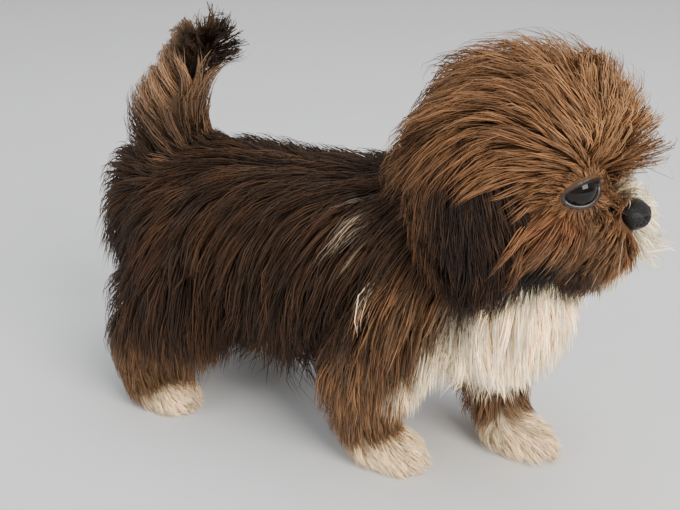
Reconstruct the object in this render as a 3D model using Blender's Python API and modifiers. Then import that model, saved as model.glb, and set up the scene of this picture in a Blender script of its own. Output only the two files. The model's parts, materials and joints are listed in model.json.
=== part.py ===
# A shih tzu puppy of about nine weeks, standing in mid step, at life size.
# +X runs towards the head, +Y to its left and +Z up. All sizes are in metres.
# The body is shaped whole, as flesh, then dressed with a coat of flat, tapered locks
# and parted by thin cuts into head, neck, torso, tail and legs.

import itertools
import math
import random

import bmesh
import bpy
import numpy as np
from mathutils import Matrix, Vector
from mathutils.bvhtree import BVHTree
from mathutils.kdtree import KDTree

MM = 0.001
GAP = 0.3 * MM  # left between touching pieces
STEP = 0.04 * MM  # between a core's cut and that of its locks, as equal cuts leave flaws

# Driving dimensions of the flesh, without its coat.
BACK_HEIGHT = 130 * MM
TORSO_LENGTH = 174 * MM
TORSO_HALF_WIDTH = 38 * MM
TORSO_HALF_DEPTH = 37 * MM
SKULL_RADIUS = 33 * MM
EYE_RADIUS = 8.6 * MM
LID = 1.5 * MM
MUZZLE_HALF_WIDTH = 15 * MM
NOSE_WIDTH = 16 * MM

# Places of the main landmarks.
CHEST_X = 46 * MM
SKULL = Vector((50, 0, 152)) * MM
EYE = Vector((78, -17.5, 145)) * MM  # the right one; the left mirrors it
EYE_AXIS = Vector((0.78, -0.62, 0.02)).normalized()
MUZZLE = Vector((86, 0, 127)) * MM
NOSE = Vector((97, 0, 132)) * MM
EAR = Vector((42, -36.5, 139.5)) * MM  # the middle of the right flap, on its inner face
EAR_DOWN = Vector((0.27, -0.16, -0.95)).normalized()
EAR_AHEAD = Vector((0.956, 0.12, 0.25)).normalized()
EAR_HALF_LENGTH = 31 * MM
EAR_HALF_WIDTH = 22 * MM
EAR_DEPTH = 9 * MM
EAR_CURL = 5 * MM  # how far its edges turn in

CORE_SHARE = 0.5  # how much of the coat's depth is solid under the tips
LEAST_DEPTH = 3.6 * MM  # no lock where the coat is thinner
LOWEST_ROOT = 24 * MM
LEG_TOP = 46 * MM
FRINGE_HEIGHT = 27 * MM  # where the hair of the flanks ends
LOWEST_TIP = 9 * MM
ROOT_DEPTH = 3.5 * MM  # how far a lock's root is sunk in the core
MOST_TURN = math.cos(math.radians(50))  # of a lock from one ring to the next
LOCK_LENGTH = 1.5  # of the single hairs' length, as locks are fewer than the real ones
LOCK_WIDTH = 0.7
LOCK_SPACING = 1.31  # more is sparser
FIRST_SPACING = 0.55
EDGE_GROWTH = 6  # a wedge's thin edges grow by this many gaps where it cuts another piece
EAR_LOCK_WIDTH = 16 * MM
EAR_LOCK_THICKNESS = 2.6 * MM
EAR_ROOTS = [(-0.42, -0.55), (0.3, -0.6), (-0.45, 0.05), (0.4, 0.1), (0.0, -0.15)]  # ahead, down
TAIL_TIP_LOCKS = 5
FINENESS = {"head": 0.05, "neck": 0.025, "torso": 0.02}  # share of the core's triangles kept
LIMB_FINENESS = 0.03
VOXEL = 2.2 * MM
SEED = 22
SHARP = math.radians(40)
FLAT = math.radians(0.7)  # faces that meet at less are joined
SHORTEST = 0.1 * MM  # edges under it are shrunk away
PARTING = 0.03 * MM  # how far corners that touch are drawn apart


def mirrored(point):
    return Vector((point[0], -point[1], point[2]))


def clear_scene():
    for obj in list(bpy.data.objects):
        bpy.data.objects.remove(obj)


def material(name, colour, roughness, metallic=0.0):
    made = bpy.data.materials.new(name)
    made.use_nodes = True
    shader = made.node_tree.nodes["Principled BSDF"]
    shader.inputs["Base Color"].default_value = (*colour, 1.0)
    shader.inputs["Roughness"].default_value = roughness
    shader.inputs["Metallic"].default_value = metallic
    made.diffuse_color = (*colour, 1.0)
    return made


def object_of(name, bm, collection=None):
    mesh = bpy.data.meshes.new(name)
    bmesh.ops.recalc_face_normals(bm, faces=bm.faces)
    bm.to_mesh(mesh)
    bm.free()
    obj = bpy.data.objects.new(name, mesh)
    (collection or bpy.context.scene.collection).objects.link(obj)
    return obj


def applied(obj):
    """Replaces the object's mesh by its evaluated one and drops its modifiers."""
    bpy.context.view_layer.update()
    graph = bpy.context.evaluated_depsgraph_get()
    mesh = bpy.data.meshes.new_from_object(obj.evaluated_get(graph))
    obj.modifiers.clear()
    obj.data = mesh
    return obj


def ellipsoid(bm, centre, radii, segments=32, rings=20):
    made = bmesh.ops.create_uvsphere(bm, u_segments=segments, v_segments=rings, radius=1.0)
    for vert in made["verts"]:
        vert.co = Vector(centre) + Vector(r * c for r, c in zip(radii, vert.co))


def smooth_path(points, steps=5):
    """A Catmull-Rom curve through the points, each a list of numbers."""
    rows = [np.array(p, float) for p in points]
    rows = [2 * rows[0] - rows[1], *rows, 2 * rows[-1] - rows[-2]]
    out = []
    for a, b, c, d in zip(rows, rows[1:], rows[2:], rows[3:]):
        for k in range(steps):
            t = k / steps
            out.append(
                0.5 * (2 * b + (c - a) * t + (2 * a - 5 * b + 4 * c - d) * t * t
                       + (3 * b - a - 3 * c + d) * t**3)
            )
    return np.array([*out, rows[-2]])


def limb(bm, stations, sides=24, steps=5):
    """A round-ended loft through stations of (x, y, z, half width, half depth)."""
    path = smooth_path(stations, steps)
    centres, sizes = path[:, :3], path[:, 3:]
    along = np.gradient(centres, axis=0)
    along /= np.linalg.norm(along, axis=1, keepdims=True)
    rings = []
    dome = [math.radians(angle) for angle in (75, 50, 25)]
    rows = [(centres[0] - along[0] * sizes[0].mean() * math.sin(a), along[0],
             sizes[0] * math.cos(a)) for a in dome]
    rows += list(zip(centres, along, sizes))
    rows += [(centres[-1] + along[-1] * sizes[-1].mean() * math.sin(a), along[-1],
              sizes[-1] * math.cos(a)) for a in reversed(dome)]
    for centre, forward, (wide, deep) in rows:
        side = np.cross([0, 0, 1.0], forward)
        if np.linalg.norm(side) < 0.3:
            side = np.array([0, 1.0, 0])
        side /= np.linalg.norm(side)
        if side[1] < 0:
            side = -side
        lift = np.cross(forward, side)
        rings.append([
            bm.verts.new(centre + side * wide * math.cos(t) + lift * deep * math.sin(t))
            for t in np.linspace(0, 2 * math.pi, sides, endpoint=False)
        ])
    for low, high in zip(rings, rings[1:]):
        for k in range(sides):
            bm.faces.new((low[k], low[(k + 1) % sides], high[(k + 1) % sides], high[k]))
    bm.faces.new(rings[0])
    bm.faces.new(rings[-1])


def torso_stations():
    """From rump to chest: share of the length, drop of the middle, and share of the sizes."""
    shape = (
        (0.00, 0, 0.62, 0.70),
        (0.11, 0, 0.87, 0.90),
        (0.29, 0, 0.97, 0.97),
        (0.48, -1, 1.00, 1.00),
        (0.67, 0, 0.96, 1.02),
        (0.86, 1, 0.87, 0.98),
        (1.00, -2, 0.66, 0.78),
    )
    middle = BACK_HEIGHT - TORSO_HALF_DEPTH
    rear = CHEST_X - TORSO_LENGTH
    return [
        (rear + share * TORSO_LENGTH, 0, middle + drop * MM,
         TORSO_HALF_WIDTH * wide, TORSO_HALF_DEPTH * deep)
        for share, drop, wide, deep in shape
    ]


def scaled(rows, unit=MM):
    return [tuple(value * unit for value in row) for row in rows]


NECK = scaled([(18, 0, 100, 29, 32), (33, 0, 120, 28, 31), (44, 0, 140, 28, 28)])
RIGHT_FORELEG = scaled([
    (14, -23, 86, 17, 19), (4, -29, 60, 14, 16), (-2, -30, 38, 11, 12),
    (-3, -29, 22, 10, 10.5), (2, -28, 13.5, 12, 9), (11, -28, 12, 11, 7.5),
])
LEFT_FORELEG = scaled([
    (22, 20, 86, 17, 19), (32, 21, 60, 14, 16), (40, 17, 38, 11, 12),
    (44, 13, 22, 10, 10.5), (51, 10.5, 13.5, 12, 9), (60, 9, 12, 11, 7.5),
])
RIGHT_HINDLEG = scaled([
    (-100, -20, 92, 23, 25), (-98, -32, 68, 17, 23), (-112, -35, 50, 13, 18),
    (-122, -37, 37, 10, 13), (-121, -38, 21, 9.5, 11), (-116, -38, 13.5, 11.5, 8.5),
    (-107, -38, 12, 10.5, 7.5),
])
LEFT_HINDLEG = scaled([
    (-98, 20, 92, 23, 25), (-90, 32, 68, 17, 23), (-101, 34, 50, 13, 18),
    (-113, 35, 37, 10, 13), (-112, 36, 21, 9.5, 11), (-104, 36, 13.5, 11.5, 8.5),
    (-94, 36, 12, 10.5, 7.5),
])
TAIL = scaled([
    (-108, 0, 112, 9, 9), (-122, 0, 126, 8, 8), (-123, 0, 143, 6.5, 6.5),
    (-117, 0, 157, 5.5, 5.5), (-108, 0, 169, 5, 5), (-101, 0, 176, 4.5, 4.5),
])


def head_flesh(bm):
    """Skull, brow, cheeks, muzzle with its flews, and lower jaw."""
    r = SKULL_RADIUS
    ellipsoid(bm, SKULL, (1.03 * r, r, 0.94 * r))
    ellipsoid(bm, SKULL + Vector((20, 0, 8)) * MM, (16 * MM, 25 * MM, 17 * MM))
    ellipsoid(bm, MUZZLE, (12 * MM, MUZZLE_HALF_WIDTH, 12 * MM))
    ellipsoid(bm, MUZZLE + Vector((-10, 0, 9)) * MM, (14 * MM, 11 * MM, 11 * MM))
    ellipsoid(bm, MUZZLE + Vector((-9, 0, -14)) * MM, (17 * MM, 12 * MM, 8 * MM))
    for side in (-1, 1):
        ellipsoid(bm, SKULL + Vector((13, side * 19, -21)) * MM, (20 * MM, 14 * MM, 18 * MM))
        ellipsoid(bm, MUZZLE + Vector((3, side * 7.5, -4)) * MM, (10 * MM, 9 * MM, 9.5 * MM))
        ellipsoid(bm, side_of(EYE - EYE_AXIS * 3 * MM, side), [EYE_RADIUS + 2.5 * MM] * 3)


def flesh_object():
    bm = bmesh.new()
    limb(bm, torso_stations(), sides=36)
    limb(bm, NECK)
    for stations in (RIGHT_FORELEG, LEFT_FORELEG, RIGHT_HINDLEG, LEFT_HINDLEG, TAIL):
        limb(bm, stations)
    head_flesh(bm)
    obj = object_of("flesh", bm)
    remesh = obj.modifiers.new("one_skin", "REMESH")
    remesh.mode = "VOXEL"
    remesh.voxel_size = VOXEL
    soften = obj.modifiers.new("soften", "SMOOTH")
    soften.factor = 0.5
    soften.iterations = 7
    return applied(obj)


# The combing: where, which way the hair lies, how deep the coat is and how long the hair,
# in millimetres, on the right side. The left mirrors it.
COMBING = [
    # forelock, forehead and crown
    (84, 0, 158, 0.9, 0, 0.4, 27, 40), (93, 0, 142, 0.6, 0, 0.75, 10, 16),
    (91, -9, 140, 0.35, -0.6, 0.6, 8, 15), (84, -12, 162, 0.7, -0.2, 0.65, 12, 34),
    (76, 0, 176, 0.2, 0, 0.95, 16, 32), (60, 0, 183, -0.95, 0, 0.3, 15, 34),
    (40, 0, 182, -1, 0, -0.05, 11, 34), (22, 0, 168, -0.8, 0, -0.6, 9, 32),
    (74, -20, 168, -0.6, -0.25, 0.7, 10, 28), (58, -18, 178, -0.85, -0.4, 0.2, 14, 32),
    (38, -20, 174, -0.85, -0.45, -0.3, 12, 32), (70, -29, 156, -0.95, -0.25, 0.1, 10, 26),
    # cheeks, muzzle and beard
    (60, -33, 146, -0.85, -0.2, -0.45, 10, 26), (66, -32, 130, -0.6, -0.3, -0.75, 12, 26),
    (80, -24, 130, -0.4, -0.4, -0.85, 8, 20), (93, -14, 127, 0.2, -0.75, -0.6, 14, 22),
    (98, -7, 122, 0.5, -0.35, -0.75, 8, 17), (92, 0, 108, 0.2, 0, -1, 7, 16),
    (76, -14, 110, -0.3, -0.25, -0.9, 9, 20), (88, -8, 113, 0, -0.2, -1, 7, 18),
    (86, -25, 145, -0.3, -0.6, -0.1, 1.5, 5), (88, -11, 146, 0.5, -0.1, 0.6, 3, 8),
    (80, -27, 150, -0.6, -0.5, 0.2, 3, 10),
    (98, -9, 133, 0.1, -0.8, -0.3, 2, 6), (98, 0, 122, 0.4, 0, -0.8, 3, 6),
    (58, 0, 106, -0.1, 0, -1, 13, 26),
    # nape, neck and chest
    (40, -31, 150, -0.3, -0.1, -0.95, 5, 16), (10, 0, 142, -0.75, 0, -0.65, 12, 36),
    (18, -28, 128, -0.5, -0.3, -0.8, 14, 38), (52, -22, 105, -0.1, -0.3, -0.95, 14, 34),
    (54, 0, 92, 0.35, 0, -0.93, 15, 34), (48, -18, 84, 0.15, -0.25, -0.95, 14, 34),
    (44, 0, 68, 0.3, 0, -0.95, 13, 30), (34, -12, 58, 0.1, -0.1, -1, 12, 26),
    (24, -34, 95, -0.25, -0.15, -0.95, 13, 36), (20, -34, 72, -0.1, -0.15, -1, 12, 32),
    # back
    (-12, 0, 130, -1, 0, -0.1, 10, 34), (-50, 0, 130, -1, 0, 0, 9, 34),
    (-95, 0, 128, -1, 0, 0.1, 9, 30), (-12, -12, 128, -0.7, -0.6, -0.15, 10, 36),
    (-50, -12, 128, -0.65, -0.65, -0.15, 9, 36), (-95, -12, 126, -0.7, -0.55, -0.2, 9, 34),
    # flanks, from the top down
    (-10, -30, 112, -0.35, -0.25, -0.9, 12, 40), (-50, -32, 112, -0.32, -0.22, -0.9, 12, 40),
    (-92, -28, 112, -0.35, -0.2, -0.9, 12, 38), (-10, -37, 90, -0.22, -0.08, -0.97, 13, 40),
    (-50, -38, 90, -0.2, -0.08, -0.97, 13, 42), (-90, -35, 90, -0.25, -0.08, -0.95, 12, 38),
    (-12, -30, 68, -0.12, -0.02, -1, 12, 34), (-50, -31, 66, -0.12, -0.02, -1, 13, 38),
    (-72, -28, 68, -0.12, 0, -1, 12, 32), (-50, -14, 57, -0.2, 0, -1, 26, 30),
    (-20, -14, 57, -0.1, 0, -1, 24, 30), (-78, -14, 60, -0.2, 0, -1, 22, 26),
    # rump and thighs
    (-128, 0, 100, -0.45, 0, -0.9, 13, 32), (-122, -20, 96, -0.4, -0.2, -0.9, 13, 34),
    (-130, 0, 84, -0.3, 0, -0.95, 12, 30), (-100, -40, 78, -0.25, -0.1, -0.95, 11, 32),
    (-121, -32, 64, -0.35, -0.15, -0.9, 17, 32), (-126, -18, 80, -0.4, -0.1, -0.9, 14, 32),
    (-84, -44, 64, -0.1, -0.05, -1, 9, 26),
]


def leg_combing(stations, depths, lengths, behind):
    """Hair down a leg on its four sides, deeper behind it, and forward over the paw."""
    rows = []
    for (x, y, z, wide, deep), level, length in zip(stations, depths, lengths):
        on_paw = z < 15 * MM
        for out_x, out_y in ((1, 0), (-1, 0), (0, 1), (0, -1)):
            depth = level * (behind if out_x < 0 and not on_paw else 1)
            place = (x + out_x * deep, y + out_y * wide, z)
            if on_paw:
                place = (x + out_x * wide, y + out_y * wide, z + deep * 0.5)
                lie = (0.75 + 0.1 * out_x, 0.35 * out_y, -0.45)
            else:
                lie = (0.22 * out_x, 0.2 * out_y, -1.0)
            rows.append([value / MM for value in place] + [*lie, depth, length])
    return rows


def tail_combing():
    """Long hair swept off the back of the tail, and a round tuft at its tip."""
    rows = []
    depths = (12, 20, 17, 12, 13, 14)
    lengths = (26, 38, 34, 24, 20, 18)
    for (x, y, z, wide, deep), depth, length in zip(TAIL, depths, lengths):
        for out_x, out_y in ((1, 0), (-1, 0), (-0.3, 1), (-0.3, -1)):
            place = (x + out_x * deep, y + out_y * wide, z)
            thin = depth * (0.45 if out_x > 0 and depth > 13 else 0.8)
            lie = (0.75 * out_x - 0.2, 0.55 * out_y, 0.65)
            rows.append([value / MM for value in place] + [*lie, thin, length])
    x, y, z = TAIL[-1][:3]
    for out_x, out_y, out_z in ((1, 0, 0), (0.6, 0, 0.8), (0.5, 0, -0.8), (0.2, 1, 0), (0.2, -1, 0)):
        place = (x + 5 * MM * out_x, y + 5 * MM * out_y, z + 5 * MM * out_z)
        rows.append([value / MM for value in place] + [out_x, out_y, out_z, 13, 18])
    return rows


class Coat:
    """Blends the combing at any point: the lie, the depth and the length of the hair."""

    def __init__(self, flesh):
        rows = list(COMBING) + [(r[0], -r[1], *r[2:4], -r[4], *r[5:]) for r in COMBING if r[1]]
        for stations in (RIGHT_FORELEG, LEFT_FORELEG):
            rows += leg_combing(stations[1:], (9, 8, 6, 4, 3.5), (22, 17, 13, 9, 8), 2.0)
        for stations in (RIGHT_HINDLEG, LEFT_HINDLEG):
            rows += leg_combing(stations[2:], (11, 10, 6, 4, 3.5), (24, 20, 12, 8, 7), 0.9)
        rows += tail_combing()
        table = np.array(rows, float)
        self.places = table[:, :3] * MM
        self.lies = table[:, 3:6] / np.linalg.norm(table[:, 3:6], axis=1, keepdims=True)
        self.sizes = table[:, 6:8] * MM
        self.tree = BVHTree.FromObject(flesh, bpy.context.evaluated_depsgraph_get())

    def at(self, points):
        """Lie, depth and length at each point."""
        apart = ((np.asarray(points)[:, None] - self.places[None]) ** 2).sum(2)
        weight = 1 / (apart + (5 * MM) ** 2) ** 2
        weight /= weight.sum(1, keepdims=True)
        lies = weight @ self.lies
        lies /= np.linalg.norm(lies, axis=1, keepdims=True)
        sizes = weight @ self.sizes
        return lies, sizes[:, 0], sizes[:, 1]


def core_object(flesh, coat, share):
    """The flesh swollen by a share of the coat's depth."""
    obj = flesh.copy()
    obj.data = flesh.data.copy()
    obj.name = "core"
    bpy.context.scene.collection.objects.link(obj)
    points = np.array([v.co for v in obj.data.vertices])
    normals = np.array([v.normal for v in obj.data.vertices])
    depth = coat.at(points)[1]
    moved = points + normals * (depth * share)[:, None]
    obj.data.vertices.foreach_set("co", moved.astype(np.float32).ravel())
    soften = obj.modifiers.new("soften", "SMOOTH")
    soften.iterations = 5
    remesh = obj.modifiers.new("one_skin", "REMESH")
    remesh.mode = "VOXEL"
    remesh.voxel_size = VOXEL
    return applied(obj)


# Places that a lock has to grow from, on the right side: forelock, moustache, beard,
# crown, nape and the tuft at the tail's tip.
FIRST_ROOTS = [
    (87, -3, 152), (86, -8, 160), (83, -3, 168), (80, -13, 170), (76, -24, 164),
    (96, -12, 127), (90, -18, 122), (84, -17, 113), (92, -5, 110), (62, 0, 183),
    (40, -6, 182), (24, -10, 168), (8, 0, 146), (-96, 0, 178), (-100, -5, 172),
    (-106, -3, 178), (-113, 0, 168), (-126, 0, 150), (-128, -3, 135),
]


class Lock:
    """A flat, tapered strand of hair, along rings of (place, way ahead, way out)."""

    SHARES = (0.0, 0.22, 0.48, 0.75, 1.0)  # where its rings and its point stand along it
    WIDTHS = (0.65, 1.0, 0.9, 0.55)
    THICKS = (1.0, 1.0, 0.8, 0.5)

    def __init__(self, rings, width, thick):
        self.rings = rings
        self.width = width
        self.thick = thick

    def into(self, bm, grow=0.0):
        """Adds the strand to the mesh, with three sides and a point, grown most at its edges."""
        rings = []
        for (place, ahead, out), wide, thick in zip(self.rings, self.WIDTHS, self.THICKS):
            side = ahead.cross(out) * (self.width * wide / 2 + EDGE_GROWTH * grow)
            low = place - out * (0.4 * self.thick * thick + grow)
            top = place + out * (0.6 * self.thick * thick + 1.5 * grow)
            rings.append([bm.verts.new(low - side), bm.verts.new(low + side), bm.verts.new(top)])
        tip, ahead, _ = self.rings[-1]
        point = bm.verts.new(tip + ahead * EDGE_GROWTH * grow)
        bm.faces.new(rings[0])
        for low, high in zip(rings, rings[1:]):
            for k in range(3):
                a, b, c, d = low[k], low[(k + 1) % 3], high[(k + 1) % 3], high[k]
                bm.faces.new((a, b, d))
                bm.faces.new((b, c, d))
        for k in range(3):
            bm.faces.new((rings[-1][k], rings[-1][(k + 1) % 3], point))

    def mesh_object(self, grow=0.0):
        bm = bmesh.new()
        self.into(bm, grow)
        return object_of("lock", bm)

    def points(self):
        return [place for place, _, _ in self.rings]


def ringed(points, normals):
    """Rings of (place, way ahead, way out) that turn little from one to the next."""
    rings, last = [], None
    for k, (place, normal) in enumerate(zip(points, normals)):
        ahead = (points[min(k + 1, len(points) - 1)] - points[max(k - 1, 0)]).normalized()
        side = ahead.cross(normal).normalized()
        if last is not None:
            side = (side + last if side.dot(last) > MOST_TURN else last).normalized()
        rings.append((place, ahead, side.cross(ahead).normalized()))
        last = side
    return rings


def combed_lock(coat, root, draw):
    """A lock that follows the coat's lie, rising from its sunk root to the coat's tips."""
    hair = coat.at([root])[2][0]
    lowest = FRINGE_HEIGHT if root[2] > LEG_TOP else LOWEST_TIP
    length = min(LOCK_LENGTH * hair * draw.uniform(0.9, 1.15), 1.05 * (root[2] - lowest))
    bend = draw.uniform(-0.4, 0.4)
    points, normals = [], []
    place, done, ahead = Vector(root), 0.0, Vector()
    for share in Lock.SHARES:
        for _ in range(3):
            near, normal = coat.tree.find_nearest(place)[:2]
            lie, deep, _ = coat.at([near])
            lie, deep = Vector(lie[0]), deep[0]
            lie = (lie + lie.cross(normal) * bend * share).normalized()
            ahead = (lie + ahead).normalized()
            place = place + ahead * length * (share - done) / 3
            near, normal = coat.tree.find_nearest(place)[:2]
            height = (place - near).dot(normal)
            rise = CORE_SHARE + (1 - CORE_SHARE) * (1 - (1 - share) ** 3)
            wanted = deep * rise if share else deep * CORE_SHARE - ROOT_DEPTH
            pull = 0.1 if normal.z < -0.2 and height > wanted else 0.6
            place = place + normal * (wanted - height) * (pull if share else 1)
        done = share
        points.append(place.copy())
        normals.append(normal)
    width = (2 * MM + LOCK_WIDTH * hair) * draw.uniform(0.85, 1.15)
    width = min(width, 0.7 * length)
    return Lock(ringed(points, normals), width, 1.8 * MM + 0.05 * length)


def grown_locks(flesh, coat, draw):
    """Roots and locks all over the flesh, spaced by their own length and width."""
    points = np.array([v.co for v in flesh.data.vertices])
    order = list(range(len(points)))
    draw.shuffle(order)
    first = [side_of(Vector(root) * MM, side) for root in FIRST_ROOTS for side in (-1, 1)]
    order = [int(((points - root) ** 2).sum(1).argmin()) for root in first] + order
    normals = np.array([v.normal for v in flesh.data.vertices])
    lies, depths, lengths = coat.at(points)
    lies -= normals * (lies * normals).sum(1, keepdims=True)
    lying = np.linalg.norm(lies, axis=1)  # less where the hair stands out
    lies /= lying[:, None]
    taken, locks = [], []
    for place, k in enumerate(order):
        if depths[k] < LEAST_DEPTH or points[k][2] < LOWEST_ROOT:
            continue
        hidden = normals[k][2] < -0.3 or abs(points[k][1]) < 20 * MM and points[k][2] < 60 * MM
        spacing = LOCK_SPACING * (1.7 if hidden else 1.0)
        if place < len(first):
            spacing = FIRST_SPACING
        along = spacing * LOCK_LENGTH * lengths[k] * 0.45 * max(0.35, lying[k])
        across = spacing * (2 * MM + LOCK_WIDTH * lengths[k]) * 0.75 * max(0.55, lying[k])
        gap = points[taken] - points[k]
        run = gap @ lies[k]
        cross = np.linalg.norm(gap - run[:, None] * lies[k], axis=1)
        if (((run / along) ** 2 + (cross / across) ** 2) < 1).any():
            continue
        taken.append(k)
        locks.append((points[k], combed_lock(coat, points[k], draw)))
    return locks


def boolean(obj, operation, others, solver="MANIFOLD"):
    """Applies one Boolean with every object of the list, and removes them."""
    group = bpy.data.collections.new("operands")
    bpy.context.scene.collection.children.link(group)
    for other in others:
        for owner in list(other.users_collection):
            owner.objects.unlink(other)
        group.objects.link(other)
    made = obj.modifiers.new("join_or_cut", "BOOLEAN")
    made.operation = operation
    made.operand_type = "COLLECTION"
    made.collection = group
    made.solver = solver
    applied(obj)
    for other in others:
        bpy.data.objects.remove(other)
    bpy.data.collections.remove(group)
    return obj


def largest_surface(obj):
    """Keeps the largest closed surface and drops sealed hollows and loose scraps."""
    bm = bmesh.new()
    bm.from_mesh(obj.data)
    left, groups = set(bm.faces), []
    while left:
        seen, edge = set(), [left.pop()]
        while edge:
            face = edge.pop()
            seen.add(face)
            for link in face.edges:
                for other in link.link_faces:
                    if other in left:
                        left.remove(other)
                        edge.append(other)
        groups.append(seen)
    keep = max(groups, key=lambda faces: sum(f.calc_area() for f in faces))
    drop = [face for faces in groups if faces is not keep for face in faces]
    bmesh.ops.delete(bm, geom=drop, context="FACES")
    bm.to_mesh(obj.data)
    bm.free()
    return obj


def turn_edge(bm, edge, one, two):
    """Joins the other two corners of two triangles that share the edge."""
    a, b = (next(v for v in face.verts if v not in edge.verts) for face in (one, two))
    if a is b or bm.edges.get((a, b)):
        return False
    loop = next(corner for corner in one.loops if corner.edge is edge)
    start, end = loop.vert, loop.link_loop_next.vert
    bmesh.ops.delete(bm, geom=[one, two], context="FACES_ONLY")
    bm.faces.new((a, start, b))
    bm.faces.new((b, end, a))
    return True


def split_faces(bm):
    """Splits the faces into triangles so that no edge ends up in two pairs of them."""
    source = bm.faces.layers.int.new("source")
    for k, face in enumerate(bm.faces):
        face[source] = k
    bmesh.ops.triangulate(bm, faces=bm.faces)
    for edge in [e for e in bm.edges if len(e.link_faces) > 2]:
        for one, two in itertools.combinations(list(edge.link_faces), 2):
            if one[source] == two[source] and turn_edge(bm, edge, one, two):
                break
    bm.faces.layers.int.remove(source)


def can_shrink(edge):
    """True where joining the edge's ends keeps the surface closed and turns no face over."""
    a, b = edge.verts
    if any(len(e.link_faces) != 2 for v in (a, b) for e in v.link_edges):
        return False
    if len({e.other_vert(a) for e in a.link_edges} & {e.other_vert(b) for e in b.link_edges}) != 2:
        return False
    middle = (a.co + b.co) / 2
    for vert in (a, b):
        for face in vert.link_faces:
            corners = [middle if v is vert else v.co for v in face.verts]
            turned = (corners[1] - corners[0]).cross(corners[2] - corners[0])
            if edge not in face.edges and turned.dot(face.normal) <= 0:
                return False
    return True


def part_corners(bm):
    """Draws corners that share a place, but not a surface, back along their own edges."""
    tree = KDTree(len(bm.verts))
    for k, vert in enumerate(bm.verts):
        tree.insert(vert.co, k)
    tree.balance()
    shared = [vert for vert in bm.verts if len(tree.find_range(vert.co, PARTING / 4)) > 1]
    for vert in shared:
        ends = [edge.other_vert(vert).co - vert.co for edge in vert.link_edges]
        pull = sum((end.normalized() for end in ends), Vector()) + 0.1 * vert.normal
        vert.co += pull.normalized() * PARTING


def tidied(obj):
    """Joins flat faces, splits all into triangles and shrinks the shortest edges away."""
    bm = bmesh.new()
    bm.from_mesh(obj.data)
    bmesh.ops.dissolve_limit(bm, angle_limit=FLAT, verts=bm.verts, edges=bm.edges)
    split_faces(bm)
    bm.normal_update()
    found = True
    while found:
        found = False
        for edge in sorted(bm.edges, key=lambda e: e.calc_length()):
            if edge.is_valid and edge.calc_length() > SHORTEST:
                break
            if edge.is_valid and can_shrink(edge):
                bmesh.ops.collapse(bm, edges=[edge])
                found = True
    part_corners(bm)
    bm.to_mesh(obj.data)
    bm.free()


class Cell:
    """A convex region of space bounded by planes of (point, inward normal), in metres."""

    def __init__(self, *planes):
        self.planes = [(Vector(p) * MM, Vector(n).normalized()) for p, n in planes]

    def solid(self, name, grow=0.0):
        bm = bmesh.new()
        bmesh.ops.create_cube(bm, size=0.7)
        for point, inward in self.planes:
            cut = bmesh.ops.bisect_plane(
                bm, geom=[*bm.verts, *bm.edges, *bm.faces],
                plane_co=point - inward * grow, plane_no=-inward, clear_outer=True,
            )
            rim = [e for e in cut["geom_cut"] if isinstance(e, bmesh.types.BMEdge)]
            if rim:
                bmesh.ops.contextual_create(bm, geom=rim)
        bmesh.ops.triangulate(bm, faces=bm.faces)
        return object_of(name, bm)

    def holds(self, place):
        return all((Vector(place) - point).dot(inward) > 0 for point, inward in self.planes)


HEAD_PLANE = (33, 0, 134), (0.675, 0, 0.74)
NECK_PLANE = (28, 0, 114), (0.526, 0, 0.85)
FLOOR_PLANE = (0, 0, 5), (0, 0, 1)
TAIL_PLANE = (-119, 0, 152), (0.35, 0, 0.94)

def flipped(plane):
    return plane[0], tuple(-n for n in plane[1])


CELLS = {
    "head": Cell(HEAD_PLANE),
    "neck": Cell(NECK_PLANE, flipped(HEAD_PLANE)),
    "tail_base": Cell(((-118, 0, 124), (-0.4, 0, 0.92)), ((-104, 0, 130), (-0.8, 0, 0.6)),
                      flipped(TAIL_PLANE)),
    "tail_tip": Cell(TAIL_PLANE, ((-60, 0, 130), (-1, 0, 0))),
    "foreleg_right": Cell(((0, -9.15, 0), (0, -1, 0)), ((0, -14, 46), (0, -0.68, -0.73)),
                          ((-45, 0, 0), (1, 0, 0)), FLOOR_PLANE),
    "foreleg_left": Cell(((0, -8.85, 0), (0, 1, 0)), ((0, 10, 46), (0, 0.68, -0.73)),
                         ((-45, 0, 0), (1, 0, 0)), FLOOR_PLANE),
    "hindleg_right": Cell(((0, -0.15, 0), (0, -1, 0)), ((0, -12, 46), (0, -0.745, -0.667)),
                          ((-70, 0, 0), (-1, 0, 0)), FLOOR_PLANE),
    "hindleg_left": Cell(((0, 0.15, 0), (0, 1, 0)), ((0, 12, 46), (0, 0.745, -0.667)),
                         ((-70, 0, 0), (-1, 0, 0)), FLOOR_PLANE),
}


def side_of(point, side):
    """The point on the right, or mirrored to the left."""
    return Vector(point) if side < 0 else mirrored(point)


def eye_object(name, side, grow=0.0):
    bm = bmesh.new()
    ellipsoid(bm, side_of(EYE, side), [EYE_RADIUS + grow] * 3, 12, 8)
    return object_of(name, bm)


def lid_opening(side):
    """The almond between the lids, widening outwards from the middle of the eye."""
    eye, axis = side_of(EYE, side), side_of(EYE_AXIS, side)
    bm = bmesh.new()
    ellipsoid(bm, (0, 0, 0), (20 * MM, 9.5 * MM, 6.2 * MM), 12, 6)
    opening = object_of("opening", bm)
    opening.data.transform(axis.to_track_quat("X", "Z").to_matrix().to_4x4())
    opening.data.transform(Matrix.Translation(eye + axis * 20 * MM))
    return opening


def ear_point(side, u, v, lift, grow=0.0):
    """A place u ahead of the ear's middle and v below it, lifted off its inner face."""
    curl = EAR_CURL * (u * u + 0.5 * v * v)
    out = side_of(EAR_DOWN.cross(EAR_AHEAD), side)
    return (side_of(EAR, side) + out * (lift - curl)
            + side_of(EAR_AHEAD, side) * u * (1 - 0.15 * v) * (EAR_HALF_WIDTH + grow)
            + side_of(EAR_DOWN, side) * v * (EAR_HALF_LENGTH + grow))


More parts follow.
